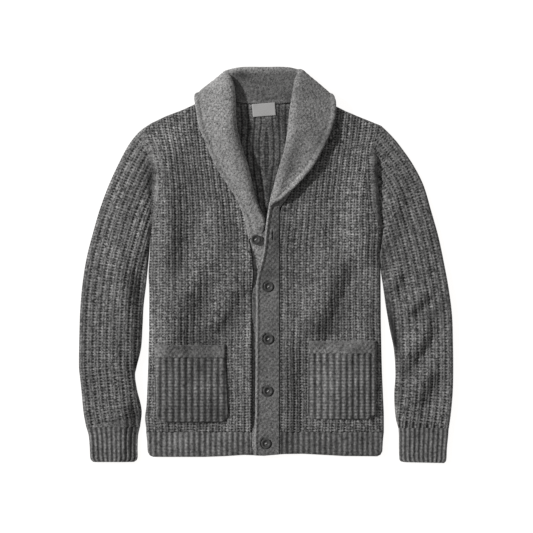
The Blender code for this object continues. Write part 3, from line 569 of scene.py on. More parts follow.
# Spots of painted shade on the body, and of painted light where the shade is negative
BODY_PAINTED_SHADE = table_of(Spot,
    (-208, 250, 32, 22, 10, -0.66), (-168, 270, 38, 17, 22, -0.3), (-121, 208, 52, 12, 88, -0.42),
    (-90, 98, 36, 14, 85, -0.46), (-204, 170, 42, 9, 84, -0.58), (-54, 100, 40, 8, 105, -0.5),
    (-44, 46, 24, 9, 90, -0.3), (-68, 46, 20, 12, 90, 0.26), (-176, 180, 16, 12, 0, 0.25),
    (-148, 155, 20, 12, 60, 0.2), (-180, -12, 34, 13, 80, 0.42), (-142, -26, 48, 15, 75, -0.42),
    (-130, -154, 38, 22, 70, 0.4), (-78, -117, 40, 14, 55, 0.5), (-125, -208, 24, 14, 60, 0.4),
    (-118, -248, 46, 10, 15, -0.4), (-170, -184, 32, 11, -60, -0.46),
    (-231, -150, 62, 6, 90, -0.56), (-215, -212, 40, 13, 90, -0.26),
    (-182, -280, 36, 11, 85, 0.27), (-104, -298, 38, 17, 0, 0.34), (-165, -319, 66, 5, 0, 0.32),
    (-38, 24, 70, 8, 90, -0.6), (-34, -140, 38, 8, 90, -0.66), (-34, -250, 66, 8, 90, -0.66),
    (-58, -328, 34, 12, 0, -0.4), (-190, -356, 50, 11, 5, -0.3), (37, -220, 130, 9, 90, 0.44),
    (62, -220, 84, 7, 90, -0.26), (84, -126, 24, 13, 60, 0.4), (76, -28, 26, 16, 0, 0.28),
    (110, -174, 22, 14, 60, -0.76), (142, -177, 18, 8, 0, -0.3), (98, -236, 34, 25, 60, -0.32),
    (150, -106, 40, 11, 60, 0.42), (124, -137, 26, 8, 5, 0.3), (213, -110, 32, 12, 90, 0.42),
    (182, -171, 32, 9, 0, 0.44), (180, -232, 36, 10, 10, -0.38), (216, -280, 42, 7, 90, -0.46),
    (202, 177, 28, 14, 68, -0.84), (114, -86, 34, 12, 75, -0.24), (186, -198, 30, 7, 0, 0.2),
    (112, -347, 18, 7, 15, -0.34), (168, -354, 20, 10, 0, 0.14), (-46, -362, 20, 14, 0, 0.2),
    (172, 90, 84, 34, 88, -0.34), (192, 0, 26, 14, 90, -0.22), (146, 22, 20, 9, 120, 0.26),
    (214, 234, 28, 10, 100, -0.5), (229, 12, 36, 5, 90, 0.4), (38, 60, 52, 9, 86, 0.34),
    (56, 116, 30, 8, 40, 0.4), (104, 160, 36, 8, 42, 0.38), (138, 212, 30, 7, 66, 0.3),
)


def folds(table, x, y):
    """Height of the folds of a table: each rises on one side of its line and sinks on the
    other, by the fold's height at one width from it."""
    height = np.zeros(np.shape(x))
    for fold in table:
        length = math.hypot(fold.x2 - fold.x1, fold.y2 - fold.y1)
        ux, uy = (fold.x2 - fold.x1) / length, (fold.y2 - fold.y1) / length
        along = (x - fold.x1) * ux + (y - fold.y1) * uy
        across = ((x - fold.x1) * uy - (y - fold.y1) * ux) / fold.width
        ends = ease((along / length + 0.12) / 0.4) * ease((1.12 - along / length) / 0.4)
        height = height - fold.height * ends * across * np.exp(0.5 - across**2 / 2)
    return height


def uneven(x, y):
    """The slight unevenness of soft cloth that was smoothed out by hand."""
    lumps = np.sin(x / 13.1 + 1.7 * np.sin(y / 41.0)) * np.sin(y / 17.3 + 1.3 * np.sin(x / 37.0))
    return 0.5 * (lumps + np.sin(x / 21.7 - y / 29.0 + 2.1 * np.sin((x + y) / 67.0)))


def crease_place(y, side):
    """Distance out to the crease, where the sleeve tucks under the soft edge of the body."""
    right = [0, 55, 120, 180, 205, 230, 262], [233, 230.5, 226.5, 225, 230, 239, 252]
    left = [0, 55, 120, 180, 215, 232, 246], [231, 229.5, 224, 220, 219, 215, 206]
    return np.interp(y, *(right if side < 0 else left))


def soft_edge(y, side):
    """Distance out to where the fronts' soft fullness ends: side seam, crease, shoulder."""
    beside_sleeve = np.interp(y, [180, 215, 262], [223, 230 if side < 0 else 222, 246])
    beside_sleeve = np.minimum(beside_sleeve, np.where(y < 200.0, crease_place(y, side), 999.0))
    share = fade(y, 20, 70)
    return between(SIDE_EDGE, y, "x", 12) * (1 - share) + beside_sleeve * share


def body_roll(x, y, side):
    """Rise of the soft edge of the body beside the sleeve, dying out into the front."""
    if side < 0:
        crest = [0, 120, 180, 205, 230, 262, 285], [209, 204, 203, 207, 212, 215, 218]
        height = 2.4 * fade(y, 288, 264) + 3.8 * fade(y, 240, 190)
        outer, inner = 13.0, 44.0
    else:
        crest = [0, 55, 120, 180, 215, 232, 246], [223, 221.5, 216, 212, 211, 207, 198]
        height = 3.8 * fade(y, 256, 216)
        outer, inner = 9.0, 60.0
    inward = np.interp(y, *crest) - side * x
    across = hump(inward, np.where(inward > 0, inner, outer))
    return height * across * fade(y, -30, 50)


def band_ramp(x, y):
    """The left front climbs beside its band, which lies on the button band."""
    return BAND_RAMP * fade(x, 74, 32) * fade(x, 20, 24) * fade(y, 190, 110)


def front_rise(x, y, hugging=False):
    """Rise of a front off the back; its inner face hugs the back beside the band."""
    side = 1 if np.mean(x) > 0 else -1
    neckline, slope = (RIGHT_NECKLINE, 76.0) if side < 0 else (LEFT_NECKLINE, 44.0)
    from_band = np.abs(x) - between(neckline, y, "x", 6)
    near_band = ease(from_band / np.where(y < 60.0, 14.0, slope))
    if not hugging:
        full = 0.9 * fade(y, 50, 20) if side < 0 else 0.45 * fade(y, 110, 70)
        near_band = np.maximum(near_band, full + (1 - full) * ease(from_band / slope))
    near_hem = ease((y - HEM_SEAM_Y + 8.0) / 30.0)
    near_edge = ease((soft_edge(y, side) - np.abs(x)) / 36.0)
    if side > 0:
        near_edge = near_edge + 0.85 * (1 - near_edge) * fade(y, 40, 100) * fade(y, 246, 206)
    near_neck = fade(y, 270, 210)
    swell = BODY_SWELL + folds(BODY_FOLDS, x, y) + uneven(x, y)
    swell = 0.5 * (swell + np.sqrt(swell**2 + 1.0)) * near_band * near_hem * near_edge * near_neck
    return lift(x, y) + swell + body_roll(x, y, side) + band_ramp(x, y)


def front_surface(x, y):
    """Height of a front without its ribs, and its rounding towards the folded edges."""
    points = np.stack(np.broadcast_arrays(x, y), axis=-1)
    flank, shoulder = folded_edges(1 if np.mean(x) > 0 else -1)
    shape = rounding(to_line(points, flank)[0]) * rounding(to_line(points, shoulder)[0])
    return FRONT_UNDER + front_rise(x, y) + RIM + (BODY_CLOTH - RIM) * shape, shape


def front_plan(side, low_rows, arm_rows, columns):
    """Places across and up a front, from its neck edge out to the side and the armhole."""
    low = np.linspace(HEM_SEAM_Y + SEAM_GAP / 2, UNDERARM[1], low_rows + 1)[:-1]
    arm = armhole_line(arm_rows)
    grow = (NECK_POINT[1] - UNDERARM[1]) / (SHOULDER_TIP[1] - UNDERARM[1])
    inner_y = np.concatenate([low, UNDERARM[1] + (arm[:, 1] - UNDERARM[1]) * grow])
    neckline = RIGHT_NECKLINE if side < 0 else LEFT_NECKLINE
    inner = np.stack([between(neckline, inner_y, "x", 6) + SEAM_GAP, inner_y], axis=-1)
    outer = np.stack([between(SIDE_EDGE, low, "x", 12), low], axis=-1)
    outer = np.concatenate([outer, arm - (SEAM_GAP / 2, 0.0)])
    share = np.linspace(0.0, 1.0, columns)
    plan = inner[:, None] + (outer - inner)[:, None] * share[None, :, None]
    plan[..., 0] *= side
    return plan


def make_front(name, node, side):
    plan = front_plan(side, low_rows=270, arm_rows=160, columns=133)
    x, y = plan[..., 0], plan[..., 1]
    rib, row = rib_place(x, y)
    under = FRONT_UNDER + front_rise(x, y, hugging=True)
    height, shape = front_surface(x, y)
    height = height + rib_height(rib, row) * (0.25 + 0.75 * shape)
    upper = laid(x, y, np.maximum(height, under + 0.3))
    # Each front carries the body's spots of painted shade and painted light
    knit = knit_of(rib, row, painted_shade_spots(BODY_PAINTED_SHADE, x, y))
    made = panel(name, upper, laid(x, y, under), knit, body_knit, turned=side < 0)
    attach(made, "root")
    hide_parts(node)
    return made


front_right = make_front("front_panel_right", "front_right", -1)
front_left = make_front("front_panel_left", "front_left", 1)

# ---------------------------------------------------------------------------------------
# Hem welt: three bands of one-by-one rib under the back and the fronts, drawn in a little
# so that the body bulges just above them.
HEM_RIB = 10.95
BACK_HEM_COLUMNS, FRONT_HEM_COLUMNS = 201, 133


def welt_height(rib, row, depth=1.9):
    valley = wave(rib)
    return -depth * valley**1.2 - 0.25 * (1 - valley) * wave(row)


def ridged_finish(name, tone, grain, narrow, valley_shade, row_shade):
    """Plain ribs in the same marled wool: painted shade down the valleys, and faint painted shade
    ruled across by the rows.
    """
    made, rib, row, shade = wool(name)
    marl = made.noise(grain, 2.0) - 0.5
    flecks = made.noise(700.0, 1.0) - 0.5
    cloudy = made.noise(60.0, 2.0) - 0.5
    light = (1.0 - rib.wave() ** narrow * valley_shade) * (1.0 - row.wave() * row_shade) * (1.0 - shade)
    light = light * (marl * 2.8 + flecks * 1.6 + cloudy * 0.9 + 1.0)
    dye(made, light * tone, 0.003, flecks)
    return made


welt_knit = ridged_finish("welt_knit", 0.124, 210.0, narrow=1.6, valley_shade=0.62, row_shade=0.16)


def make_hem(name, node, side, columns):
    rows = np.linspace(HEM_Y, HEM_SEAM_Y - SEAM_GAP / 2, 31)[:, None]
    outer = between(HEM_EDGE, rows, "x")
    share = np.linspace(0.0, 1.0, columns)[None, :]
    inner = LEFT_NECKLINE[0].x + SEAM_GAP
    x = side * (inner + (outer - inner) * share) if side else outer * (2.0 * share - 1.0)
    y = np.broadcast_to(rows, x.shape)
    points = np.stack([x, y], axis=-1)
    shape = np.ones(x.shape)
    for way in (-1, 1):
        line = [(way * row.x, row.y) for row in HEM_EDGE if row.y > HEM_Y]
        shape = shape * rounding(to_line(points, line)[0])
    shape = np.maximum(shape * rounding(y - HEM_Y + 0.3, 5.0), 0.12)
    rib, row = np.abs(x) / HEM_RIB, y / BODY_ROW
    relief = welt_height(rib, row)
    if side:
        under = FRONT_UNDER + band_ramp(x, y)
        swell = 1.6 + 1.8 * np.sin(x / 13.0 + 0.6) * ease((y - HEM_Y) / 24.0)
        upper = under + RIM + (BAND_CLOTH - RIM + np.maximum(swell, 0.0)) * shape + relief * shape
    else:
        under = BACK_TOP - RIM - (BACK_TOP - RIM) * shape
        under, upper = under - 0.4 * relief * shape, np.full(x.shape, BACK_TOP)
    # Painted shade and light: the left front's welt darker, the right front's lighter, with the
    # body's spots of painted shade carried over
    knit = knit_of(rib, row, 0.04 + 0.11 * side + painted_shade_spots(BODY_PAINTED_SHADE, x, y))
    made = panel(name, laid(x, y, upper), laid(x, y, under), knit, welt_knit, turned=side < 0)
    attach(made, "root")
    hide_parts(node)
    return made


hem_back = make_hem("hem_welt_back", "hem_back", 0, BACK_HEM_COLUMNS)
make_hem("hem_welt_front_right", "hem_front_right", -1, FRONT_HEM_COLUMNS)
make_hem("hem_welt_front_left", "hem_front_left", 1, FRONT_HEM_COLUMNS)

# ---------------------------------------------------------------------------------------
# Sleeves: a tube each in the same rib, its head sewn to the armhole, lying flattened. The
# ribs run along the outer fold and tuck under a soft fold beside the body.
Ring = namedtuple("Ring", "out_x out_y in_x in_y height")
RIGHT_SLEEVE = table_of(Ring,
    (-232, 279, -231, 70, 10.6), (-255, 264, -231.8, 68, 10.8), (-276, 238, -232.0, 62, 11.2),
    (-296, 200, -232.4, 50, 11.8), (-315, 158, -233.0, 32, 12.4), (-332, 112, -234.6, 10, 13.0),
    (-346, 64, -236.8, -12, 13.4), (-358.8, 14, -240, -42, 13.6), (-367, -36, -245, -84, 13.6),
    (-372, -90, -247, -124, 13.4), (-374, -150, -250, -168, 13.2),
    (-374.6, -204, -259, -206, 13.4), (-372.4, -228, -262, -224, 13.4),
    (-369.4, -256, -258, -252, 13.4), (-365.6, -296, -249, -292, 13.0),
    (-360, -327, -252, -326, 12.0),
)
LEFT_SLEEVE = table_of(Ring,
    (232, 279, 231, 70, 10.6), (251, 259, 231.6, 68, 10.8), (271, 234, 231.2, 62, 11.2),
    (295.3, 198.4, 230.8, 50, 11.8), (315.8, 157.4, 229.6, 32, 12.4), (331, 106, 229.0, 8, 13.0),
    (345.5, 54, 229.7, -14, 13.4), (356.5, 2, 234.4, -46, 13.6), (366, -50, 241, -92, 13.6),
    (372.6, -102, 248, -132, 13.4), (374.4, -156, 256, -172, 13.2), (375.0, -212, 259, -220, 13.4),
    (374.0, -256, 256.6, -262, 13.4), (370.6, -296, 259, -304, 13.0),
    (366.4, -328, 264.6, -328, 12.0),
)
SLEEVE_MIDDLE, SLEEVE_BORE, LOWEST_TOP = 5.3, 0.4, 7.2
SLEEVE_RIB, SLEEVE_ROW, CUFF_RIBS = 14.2, 6.1, 10.5
SLEEVE_RELIEF, STRIP_RELIEF, CUFF_RELIEF = 2.8, 1.4, 2.2
SLEEVE_COLUMNS = 85
CREASE_TOP_Y = 224.0

# How many rings the armhole, the height of the shoulder and the cuff are felt over
ARMHOLE_RINGS, SHOULDER_RINGS, CUFF_RINGS = 6.0, 3.0, 1.5
# Spots of painted shade on the sleeves, and of painted light where the shade is negative
SLEEVE_PAINTED_SHADE = table_of(Spot,
    (-230, 246, 26, 18, 30, -0.54), (-231, 166, 30, 7, 86, 0.8), (-247, 178, 28, 8, 72, 0.24),
    (-236, 12, 16, 8, 90, 0.6), (-253, 86, 36, 12, 82, -0.66), (-263, 24, 28, 10, 85, -0.36),
    (-286, 172, 38, 16, 60, -0.46), (-318, 24, 46, 16, 86, -0.34), (-262, -112, 28, 9, 82, -0.7),
    (-290, -20, 28, 8, 86, 0.22), (-247, -66, 26, 7, 84, 0.44), (-257, -202, 24, 9, 100, 0.85),
    (-263, -24, 26, 8, 90, -0.3), (-251, -308, 26, 9, 82, 0.8), (-298, -318, 20, 14, 0, 0.5),
    (-364, -10, 90, 6, 86, 0.3), (-290, -136, 46, 9, 85, 0.28), (-354, -246, 20, 9, 90, 0.3),
    (-354, -190, 28, 9, 90, 0.22), (-336, -132, 26, 10, 110, -0.16),
    (-338, -350, 26, 10, 90, -0.22), (236, 12, 38, 8, 88, 0.5), (250, 46, 24, 11, 60, 0.42),
    (251, -118, 66, 8, 104, 0.66), (288, -152, 26, 13, 60, -0.34), (326, -134, 24, 9, 60, -0.42),
    (343, -94, 38, 10, 52, 0.48), (282, -216, 22, 9, 30, 0.44), (270, -318, 24, 8, 88, -0.4),
    (320, -186, 22, 8, 50, 0.2), (316, -106, 30, 8, 28, 0.34), (256, -158, 16, 6, 110, 0.4),
    (300, -184, 18, 7, 10, -0.24), (338, -262, 30, 10, 56, 0.26), (300, -342, 22, 9, 90, 0.3),
    (268, -350, 18, 6, 90, 0.3),
)
SLEEVE_SWELL = 3.0
SLEEVE_LEAN = 6.0
SLEEVE_FOLDS = table_of(Fold,
    (-254, -214, -268, 20, 20, 7.4), (-274, -400, -268, -262, 18, 6.4),
    (-262, -222, -304, -166, 12, 3.2), (-300, 40, -306, 150, 22, -2.2),
    (280, -112, 336, -56, 12, 4.4), (284, -214, 338, -110, 16, 6.2),
    (300, -290, 346, -206, 18, 6.4), (258, -60, 276, -14, 10, 3.4), (264, 60, 276, 170, 18, 2.2),
    (340, 20, 336, 120, 20, 2.6), (290, -180, 322, -128, 10, -2.4),
)


def smooth_rows(rows, steps):
    """A smooth run through the rows of a table or of points, with rows added between."""
    rows = np.asarray(rows, float)
    padded = np.concatenate([2 * rows[:1] - rows[1:2], rows, 2 * rows[-1:] - rows[-2:-1]])
    found = []
    for index in range(1, len(padded) - 2):
        p0, p1, p2, p3 = padded[index - 1 : index + 3]
        for step in range(steps):
            t = step / steps
            bend, twist = 2 * p0 - 5 * p1 + 4 * p2 - p3, 3 * p1 - p0 - 3 * p2 + p3
            found.append(0.5 * (2 * p1 + (p2 - p0) * t + bend * t**2 + twist * t**3))
    found.append(rows[-1])
    return np.array(found)


def tube(name, loops, bores, knit, finish, turned=False):
    """A closed wall between an outer loop of points and a bore, in rings down a sleeve."""
    rings, around = loops.shape[:2]
    points = np.concatenate([loops.reshape(-1, 3), bores.reshape(-1, 3)])
    knit = np.concatenate([knit.reshape(-1, 3)] * 2)
    skin = np.arange(rings * around).reshape(rings, around)
    lining = skin + rings * around
    skin = np.concatenate([skin, skin[:, :1]], axis=1)
    lining = np.concatenate([lining, lining[:, :1]], axis=1)
    squares = [squares_of(skin, turned), squares_of(lining, not turned)]
    squares.append(squares_of(np.stack([lining[0], skin[0]]), turned))
    squares.append(squares_of(np.stack([skin[-1], lining[-1]]), turned))
    return knit_mesh(name, points, knit, np.concatenate(squares), [], finish)


def sleeve_crease(x, y, side):
    """Fall of the sleeve from its middle down into the crease beside the body."""
    past = np.maximum(side * x - crease_place(y, side), 0.0)
    if side < 0:
        bank = 4.4 * np.exp(-past / 10.0) + 7.6 * np.exp(-past / 20.0) * fade(y, 108, 158)
        return bank * ease((CREASE_TOP_Y + 8.0 - y) / 34.0) * fade(y, -14, 16)
    bank = 3.6 * hump(past, 14.0) + 2.2 * hump(past, 32.0)
    return bank * ease((CREASE_TOP_Y - y) / 34.0) * fade(y, -56, -26)


def sleeve_cloth(x, y, top, share, from_out, from_in, along, side, steps):
    """A sleeve's top with its fullness, and the stitches, relief and painted shade on it."""
    step = np.arange(len(x))[:, None]
    below_seam = ease(step / (SHOULDER_RINGS * steps))
    to_cuff = ease((len(x) - 1 - step) / (CUFF_RINGS * steps))
    full = SLEEVE_SWELL * (1 - (2 * share - 1) ** 2) + 0.7 * uneven(x, y)
    full = full + SLEEVE_LEAN * (share - 0.5) * fade(y, -80, 80)
    top = top + full * to_cuff - sleeve_crease(x, y, side)

    # At the armhole, and on the body's side of the crease, the cloth goes with the front
    from_crease = side * x - crease_place(y, side)
    creased = ease((CREASE_TOP_Y + 14.0 - y) / 30.0)
    wall, start = (10.0, 10.0) if side < 0 else (6.0, 2.0)
    own = creased * ease((from_crease + start) / wall) + (1 - creased) * below_seam
    top = (FRONT_TOP + front_rise(x, y)) * (1 - own) + top * own
    with_body = (from_crease < (2.0 if side < 0 else 3.0)) & (y > 0)
    body_rib = np.where(from_crease > -10.0, 0.3, 0.3 + (from_crease + 10.0) / 12.0)
    rib = np.where(with_body, body_rib, from_out / SLEEVE_RIB)
    row = np.where(with_body, y / BODY_ROW, along / SLEEVE_ROW)
    relief = rib_height(rib, row, np.where(with_body, STRIP_RELIEF, SLEEVE_RELIEF))
    # Painted shade: on the right sleeve over its lower part and more on its outer fold, on the
    # left sleeve a little all over and more along its inner edge beside the body
    if side < 0:
        shade = 0.05 * fade(y, 0, -80) + 0.16 * fade(y, 20, -40) * hump(from_out, 12.0)
    else:
        inner_edge_painted_shade = fade(y, 20, -30) * fade(y, -230, -180) * hump(from_in, 16.0)
        shade = 0.05 + 0.24 * inner_edge_painted_shade
    return top, rib, row, relief, shade


def make_sleeve(name, node, table, side, finish, steps, armhole):
    """A flattened tube: a sleeve where it has an armhole, and a cuff where it has none."""
    rings = smooth_rows(table, steps)
    outline_out, outline_in = rings[:, :2], rings[:, 2:4]
    share = np.linspace(0.0, 1.0, SLEEVE_COLUMNS)[None, :]
    plan = outline_out[:, None] + (outline_in - outline_out)[:, None] * share[..., None]
    if armhole:
        seam = armhole_line(SLEEVE_COLUMNS)[::-1] * (side, 1.0) + (side * SEAM_GAP / 2, 0.0)
        pulled = 1.0 - ease(np.arange(len(rings)) / (ARMHOLE_RINGS * steps))
        plan = plan + pulled[:, None, None] * (seam - plan[0])[None]
    x, y = plan[..., 0], plan[..., 1]
    from_out, along = to_line(plan, outline_out[:: steps // 2])
    from_in, _ = to_line(plan, outline_in[:: steps // 2])
    from_out[:, 0] = from_in[:, -1] = 0.0
    shape = rounding(np.minimum(from_out, from_in))
    top = rings[:, 4][:, None] + folds(SLEEVE_FOLDS, x, y)
    if armhole:
        top, rib, row, relief, shade = sleeve_cloth(
            x, y, top, share, from_out, from_in, along, side, steps
        )
    else:
        rib, row = np.broadcast_to(share * CUFF_RIBS, x.shape), y / BODY_ROW
        relief = welt_height(rib, row, CUFF_RELIEF)
        shade = 0.0
    top = np.maximum(top, LOWEST_TOP)
    upper = SLEEVE_MIDDLE + (top + relief * (0.3 + 0.7 * shape) - SLEEVE_MIDDLE) * shape
    lower = SLEEVE_MIDDLE - (SLEEVE_MIDDLE + 0.35 * relief) * shape

    # Each ring goes out over the top and back underneath, where fewer columns will do
    few = slice(SLEEVE_COLUMNS - 5, 0, -4)
    loops = np.concatenate([laid(x, y, upper, 0.0), laid(x, y, lower, 0.0)[:, few]], axis=1)

    # The bore keeps one thickness of cloth from each edge, and is all but closed
    toward = plan[:, -1] - plan[:, 0]
    across = np.linalg.norm(toward, axis=1)
    cloth = np.minimum(BODY_CLOTH, 0.45 * across)[:, None]
    near = np.minimum(share * across[:, None], cloth) / cloth
    far = np.minimum((1 - share) * across[:, None], cloth) / cloth
    pull = cloth * ((1 - near) - (1 - far))
    inner = plan + (toward / across[:, None])[:, None] * pull[..., None]
    bore = SLEEVE_BORE * (0.35 + 0.65 * shape)
    bore_top = SLEEVE_MIDDLE + bore + np.clip(top - FRONT_TOP, 0.0, 3.0) * shape
    bore_top = np.maximum(np.minimum(bore_top, upper - 1.0), SLEEVE_MIDDLE + 0.1)
    bores = np.concatenate([
        laid(inner[..., 0], inner[..., 1], bore_top, 0.0),
        laid(inner[..., 0], inner[..., 1], SLEEVE_MIDDLE - bore, 0.0)[:, few],
    ], axis=1)
    # The sleeve carries its painted shade and its spots of painted shade and light
    knit = knit_of(rib, row, shade + painted_shade_spots(SLEEVE_PAINTED_SHADE, x, y))
    knit = np.concatenate([knit, knit[:, few]], axis=1)
    made = tube(name, loops, bores, knit, finish, turned=side < 0)
    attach(made, "root")
    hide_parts(node)
    return made


sleeve_knit = rib_finish("sleeve_knit", RIB_TONE, pits=1.0, hole_shade=0.55, row_shade=0.08)
for name, rings, side in (("right", RIGHT_SLEEVE, -1), ("left", LEFT_SLEEVE, 1)):
    made = make_sleeve(f"sleeve_tube_{name}", f"sleeve_{name}", rings, side, sleeve_knit,
                       28, armhole=True)

# ---------------------------------------------------------------------------------------
# Cuffs: a tube each of one-by-one rib in the same wool, narrower than the sleeve that it
# gathers. Its upper end is linked to the sleeve all round, and its lower edge is plain.
RIGHT_CUFF = table_of(Ring,
    (-359.6, -327.1, -252.4, -326.1, 12.0), (-355, -344, -256, -344, 11.4),
    (-353, -366, -257, -366, 11.4), (-351.6, -387.4, -257.4, -387.4, 11.2),
    (-346, -394.4, -264, -394.2, 10.6),
)
LEFT_CUFF = table_of(Ring,
    (366.0, -328.1, 265.0, -328.1, 12.0), (364.6, -346, 266, -346, 11.4),
    (362.4, -368, 266, -368, 11.4), (361, -391, 267.4, -391, 11.2),
    (357, -397.4, 275, -395.6, 10.6),
)
for name, rings, side in (("right", RIGHT_CUFF, -1), ("left", LEFT_CUFF, 1)):
    made = make_sleeve(f"cuff_tube_{name}", f"cuff_{name}", rings, side, welt_knit,
                       10, armhole=False)

# ---------------------------------------------------------------------------------------
# Front bands: two strips of a fine moss-like knit. The button band lies under the
# buttonhole band, whose free edge rolls over a little.
BUTTON_BAND_EDGE_X, BUTTON_BAND_TOP_Y = 18.0, 68.0
BAND_SEAM_X, BAND_TOP_Y = 27.8, 124.0
BAND_EDGE = table_of(Edge,
    (-384, -23.0), (-355, -24.5), (-300, -22.0), (-200, -21.0), (-92, -20.5), (-45, -20.5),
    (-20, -17.5), (0, -11.0), (30, -5.0), (70, -1.6), (112, 4.5), (124, 6.4),
)
# Spots of painted shade on the buttonhole band, and of painted light where the shade is negative
BAND_PAINTED_SHADE = table_of(Spot,
    (27, 60, 50, 8, 80, 0.56), (5, -20, 24, 15, 0, 0.46), (7, 26, 26, 8, 75, 0.34),
    (2, 96, 22, 7, 78, -0.76), (-8, -184, 46, 10, 90, 0.26), (0, -358, 20, 24, 0, 0.26),
    (17, -140, 60, 9, 90, 0.2),
)
MOSS_STITCH = (5.2, 5.6)
STRIP_COLUMNS = 41
BUTTON_RADIUS = 9.7
BUTTONHOLE_X, BUTTONHOLE_Y, BUTTONHOLE_BEND = 13.0, 56.5, 0.012
CLOSED_BUTTONS = [(5.0, -45.0), (5.0, -150.0), (4.0, -254.0), (0.0, -359.0)]


def moss_height(across, along, depth=0.5):
    """Fine moss knit: a small bump in every other place of every other row."""
    bumps = np.cos(math.pi * across) * np.cos(math.pi * along)
    uneven = np.sin(across * 0.83 + 2.0 * np.sin(along * 0.41)) * np.sin(along * 0.67)
    return depth * (bumps + 0.6 * uneven)


def moss_finish(name, tone, grain):
    """Marled wool in moss knit: a fine mottle of light and dark grains."""
    made, _, _, shade = wool(name)
    marl = made.noise(grain, 2.0) - 0.5
    flecks = made.noise(grain * 2.4, 1.0) - 0.5
    cloudy = made.noise(40.0, 2.0) - 0.5
    light = marl * 2.8 + flecks * 1.8 + cloudy * 0.5 + 1.0
    light = light.math("MAXIMUM", 0.02) * (1.0 - shade)
    made.colour(made.mix((light * tone * 2.0).clamp(), grey(0.008), grey(0.50)))
    made.bump(marl * 2.0 + flecks * 1.5, 0.9, 0.7)
    return made


def strip_places(start, end, y):
    """Places across a strip at each y, and the stitches of moss knit there."""
    x = start + (end - start) * np.linspace(0.0, 1.0, STRIP_COLUMNS)[None, :]
    y = np.broadcast_to(y, x.shape)
    return x, y, x / MOSS_STITCH[0], y / MOSS_STITCH[1]


collar_knit = moss_finish("collar_knit", 0.172, 270.0)
band_knit = moss_finish("band_knit", 0.096, 240.0)

y = np.linspace(HEM_Y, BUTTON_BAND_TOP_Y, 241)[:, None]
seam = -between(RIGHT_NECKLINE, y, "x", 6) + SEAM_GAP
x, y, across, along = strip_places(seam, BUTTON_BAND_EDGE_X, y)
edges = rounding(x - seam + 0.2, 3.0) * rounding(y - HEM_Y + 0.2, 3.0)
below_top = ease((BUTTON_BAND_TOP_Y + 2.0 - y) / 14.0)
to_lapel = 1.3 * fade(y, 20, 50) * below_top * fade(x, -4, -10)
height = FRONT_UNDER + 0.5 + (BAND_CLOTH - 1.1) * edges + to_lapel + moss_height(across, along)
# Painted shadow on the button band, down the gap between the right front's edge and the buttonhole
# band
gap_painted_shadow = 0.2 * fade(y, -2, -22) + 0.4 * fade(y, -42, -62) * fade(y, -134, -114)
knit = knit_of(across, along, gap_painted_shadow)
button_band = panel("button_strip", laid(x, y, height), laid(x, y, FRONT_UNDER), knit,
                    collar_knit)
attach(button_band, "root")
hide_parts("button_band")

y = np.linspace(HEM_Y, BAND_TOP_Y, 265)[:, None]
free = between(BAND_EDGE, y, "x", 8)
x, y, across, along = strip_places(free, BAND_SEAM_X, y)
from_free, from_seam = x - free, BAND_SEAM_X - x
edges = rounding(from_free + 0.2, 3.5) * rounding(from_seam + 0.2, 2.0)
edges = edges * rounding(y - HEM_Y + 0.2, 3.0)

# The free edge rolls over, a button presses its place down, and the buttonhole gapes
roll = 1.5 * hump(from_free, 3.0, 3.4) - 0.7 * hump(from_free, 2.6, 9.0)
leaning = np.clip(from_seam / (BAND_SEAM_X - free), 0.0, 1.0) ** 1.1
roll = roll + 1.4 + (0.6 + 6.6 * fade(y, -70, 100)) * leaning
# Painted highlight along the rolled free edge, which faces the lamp
painted_light_and_shade = -0.5 * hump(from_free, 3.0, 3.0)
for place in CLOSED_BUTTONS:
    away = np.hypot(x - place[0], y - place[1])
    roll = roll - 2.6 * ease((BUTTON_RADIUS + 4.0 - away) / 4.4)
    below = ease((place[1] + 5.0 - y) / 8.0)
    # Painted shade round the lower side of each done-up button
    painted_light_and_shade = painted_light_and_shade + 0.8 * hump(away - BUTTON_RADIUS, 1.5, 0.5) * below
in_slit = fade(np.abs(y - BUTTONHOLE_Y), 9.5, 6.5)
from_slit = x - BUTTONHOLE_X - BUTTONHOLE_BEND * (y - BUTTONHOLE_Y) ** 2
roll = roll + in_slit * (0.8 * hump(from_slit, 4.0) - 3.2 * hump(from_slit, 1.2))
# Painted shade in the buttonhole's slit
painted_light_and_shade = painted_light_and_shade + 0.8 * in_slit * hump(from_slit, 1.4)
height = BAND_UNDER + 0.5 + (BAND_CLOTH - 1.2) * edges + roll * edges + moss_height(across, along)
knit = knit_of(across, along, painted_light_and_shade + painted_shade_spots(BAND_PAINTED_SHADE, x, y))
buttonhole_band = panel("buttonhole_strip", laid(x, y, height), laid(x, y, BAND_UNDER), knit,
                        band_knit)
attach(buttonhole_band, "root")
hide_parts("buttonhole_band")

# ---------------------------------------------------------------------------------------
# Shawl collar: one piece of the fine knit from lapel to lapel round the back neck. From
# its seam the cloth stands up, rolls over and falls on the fronts; behind the neck the
# fall lies folded under.
COLLAR_CLOTH = 5.5
STAND_POINTS, ROLL_POINTS, FALL_POINTS = 15, 15, 53
ROWS_TO_STATION = 18

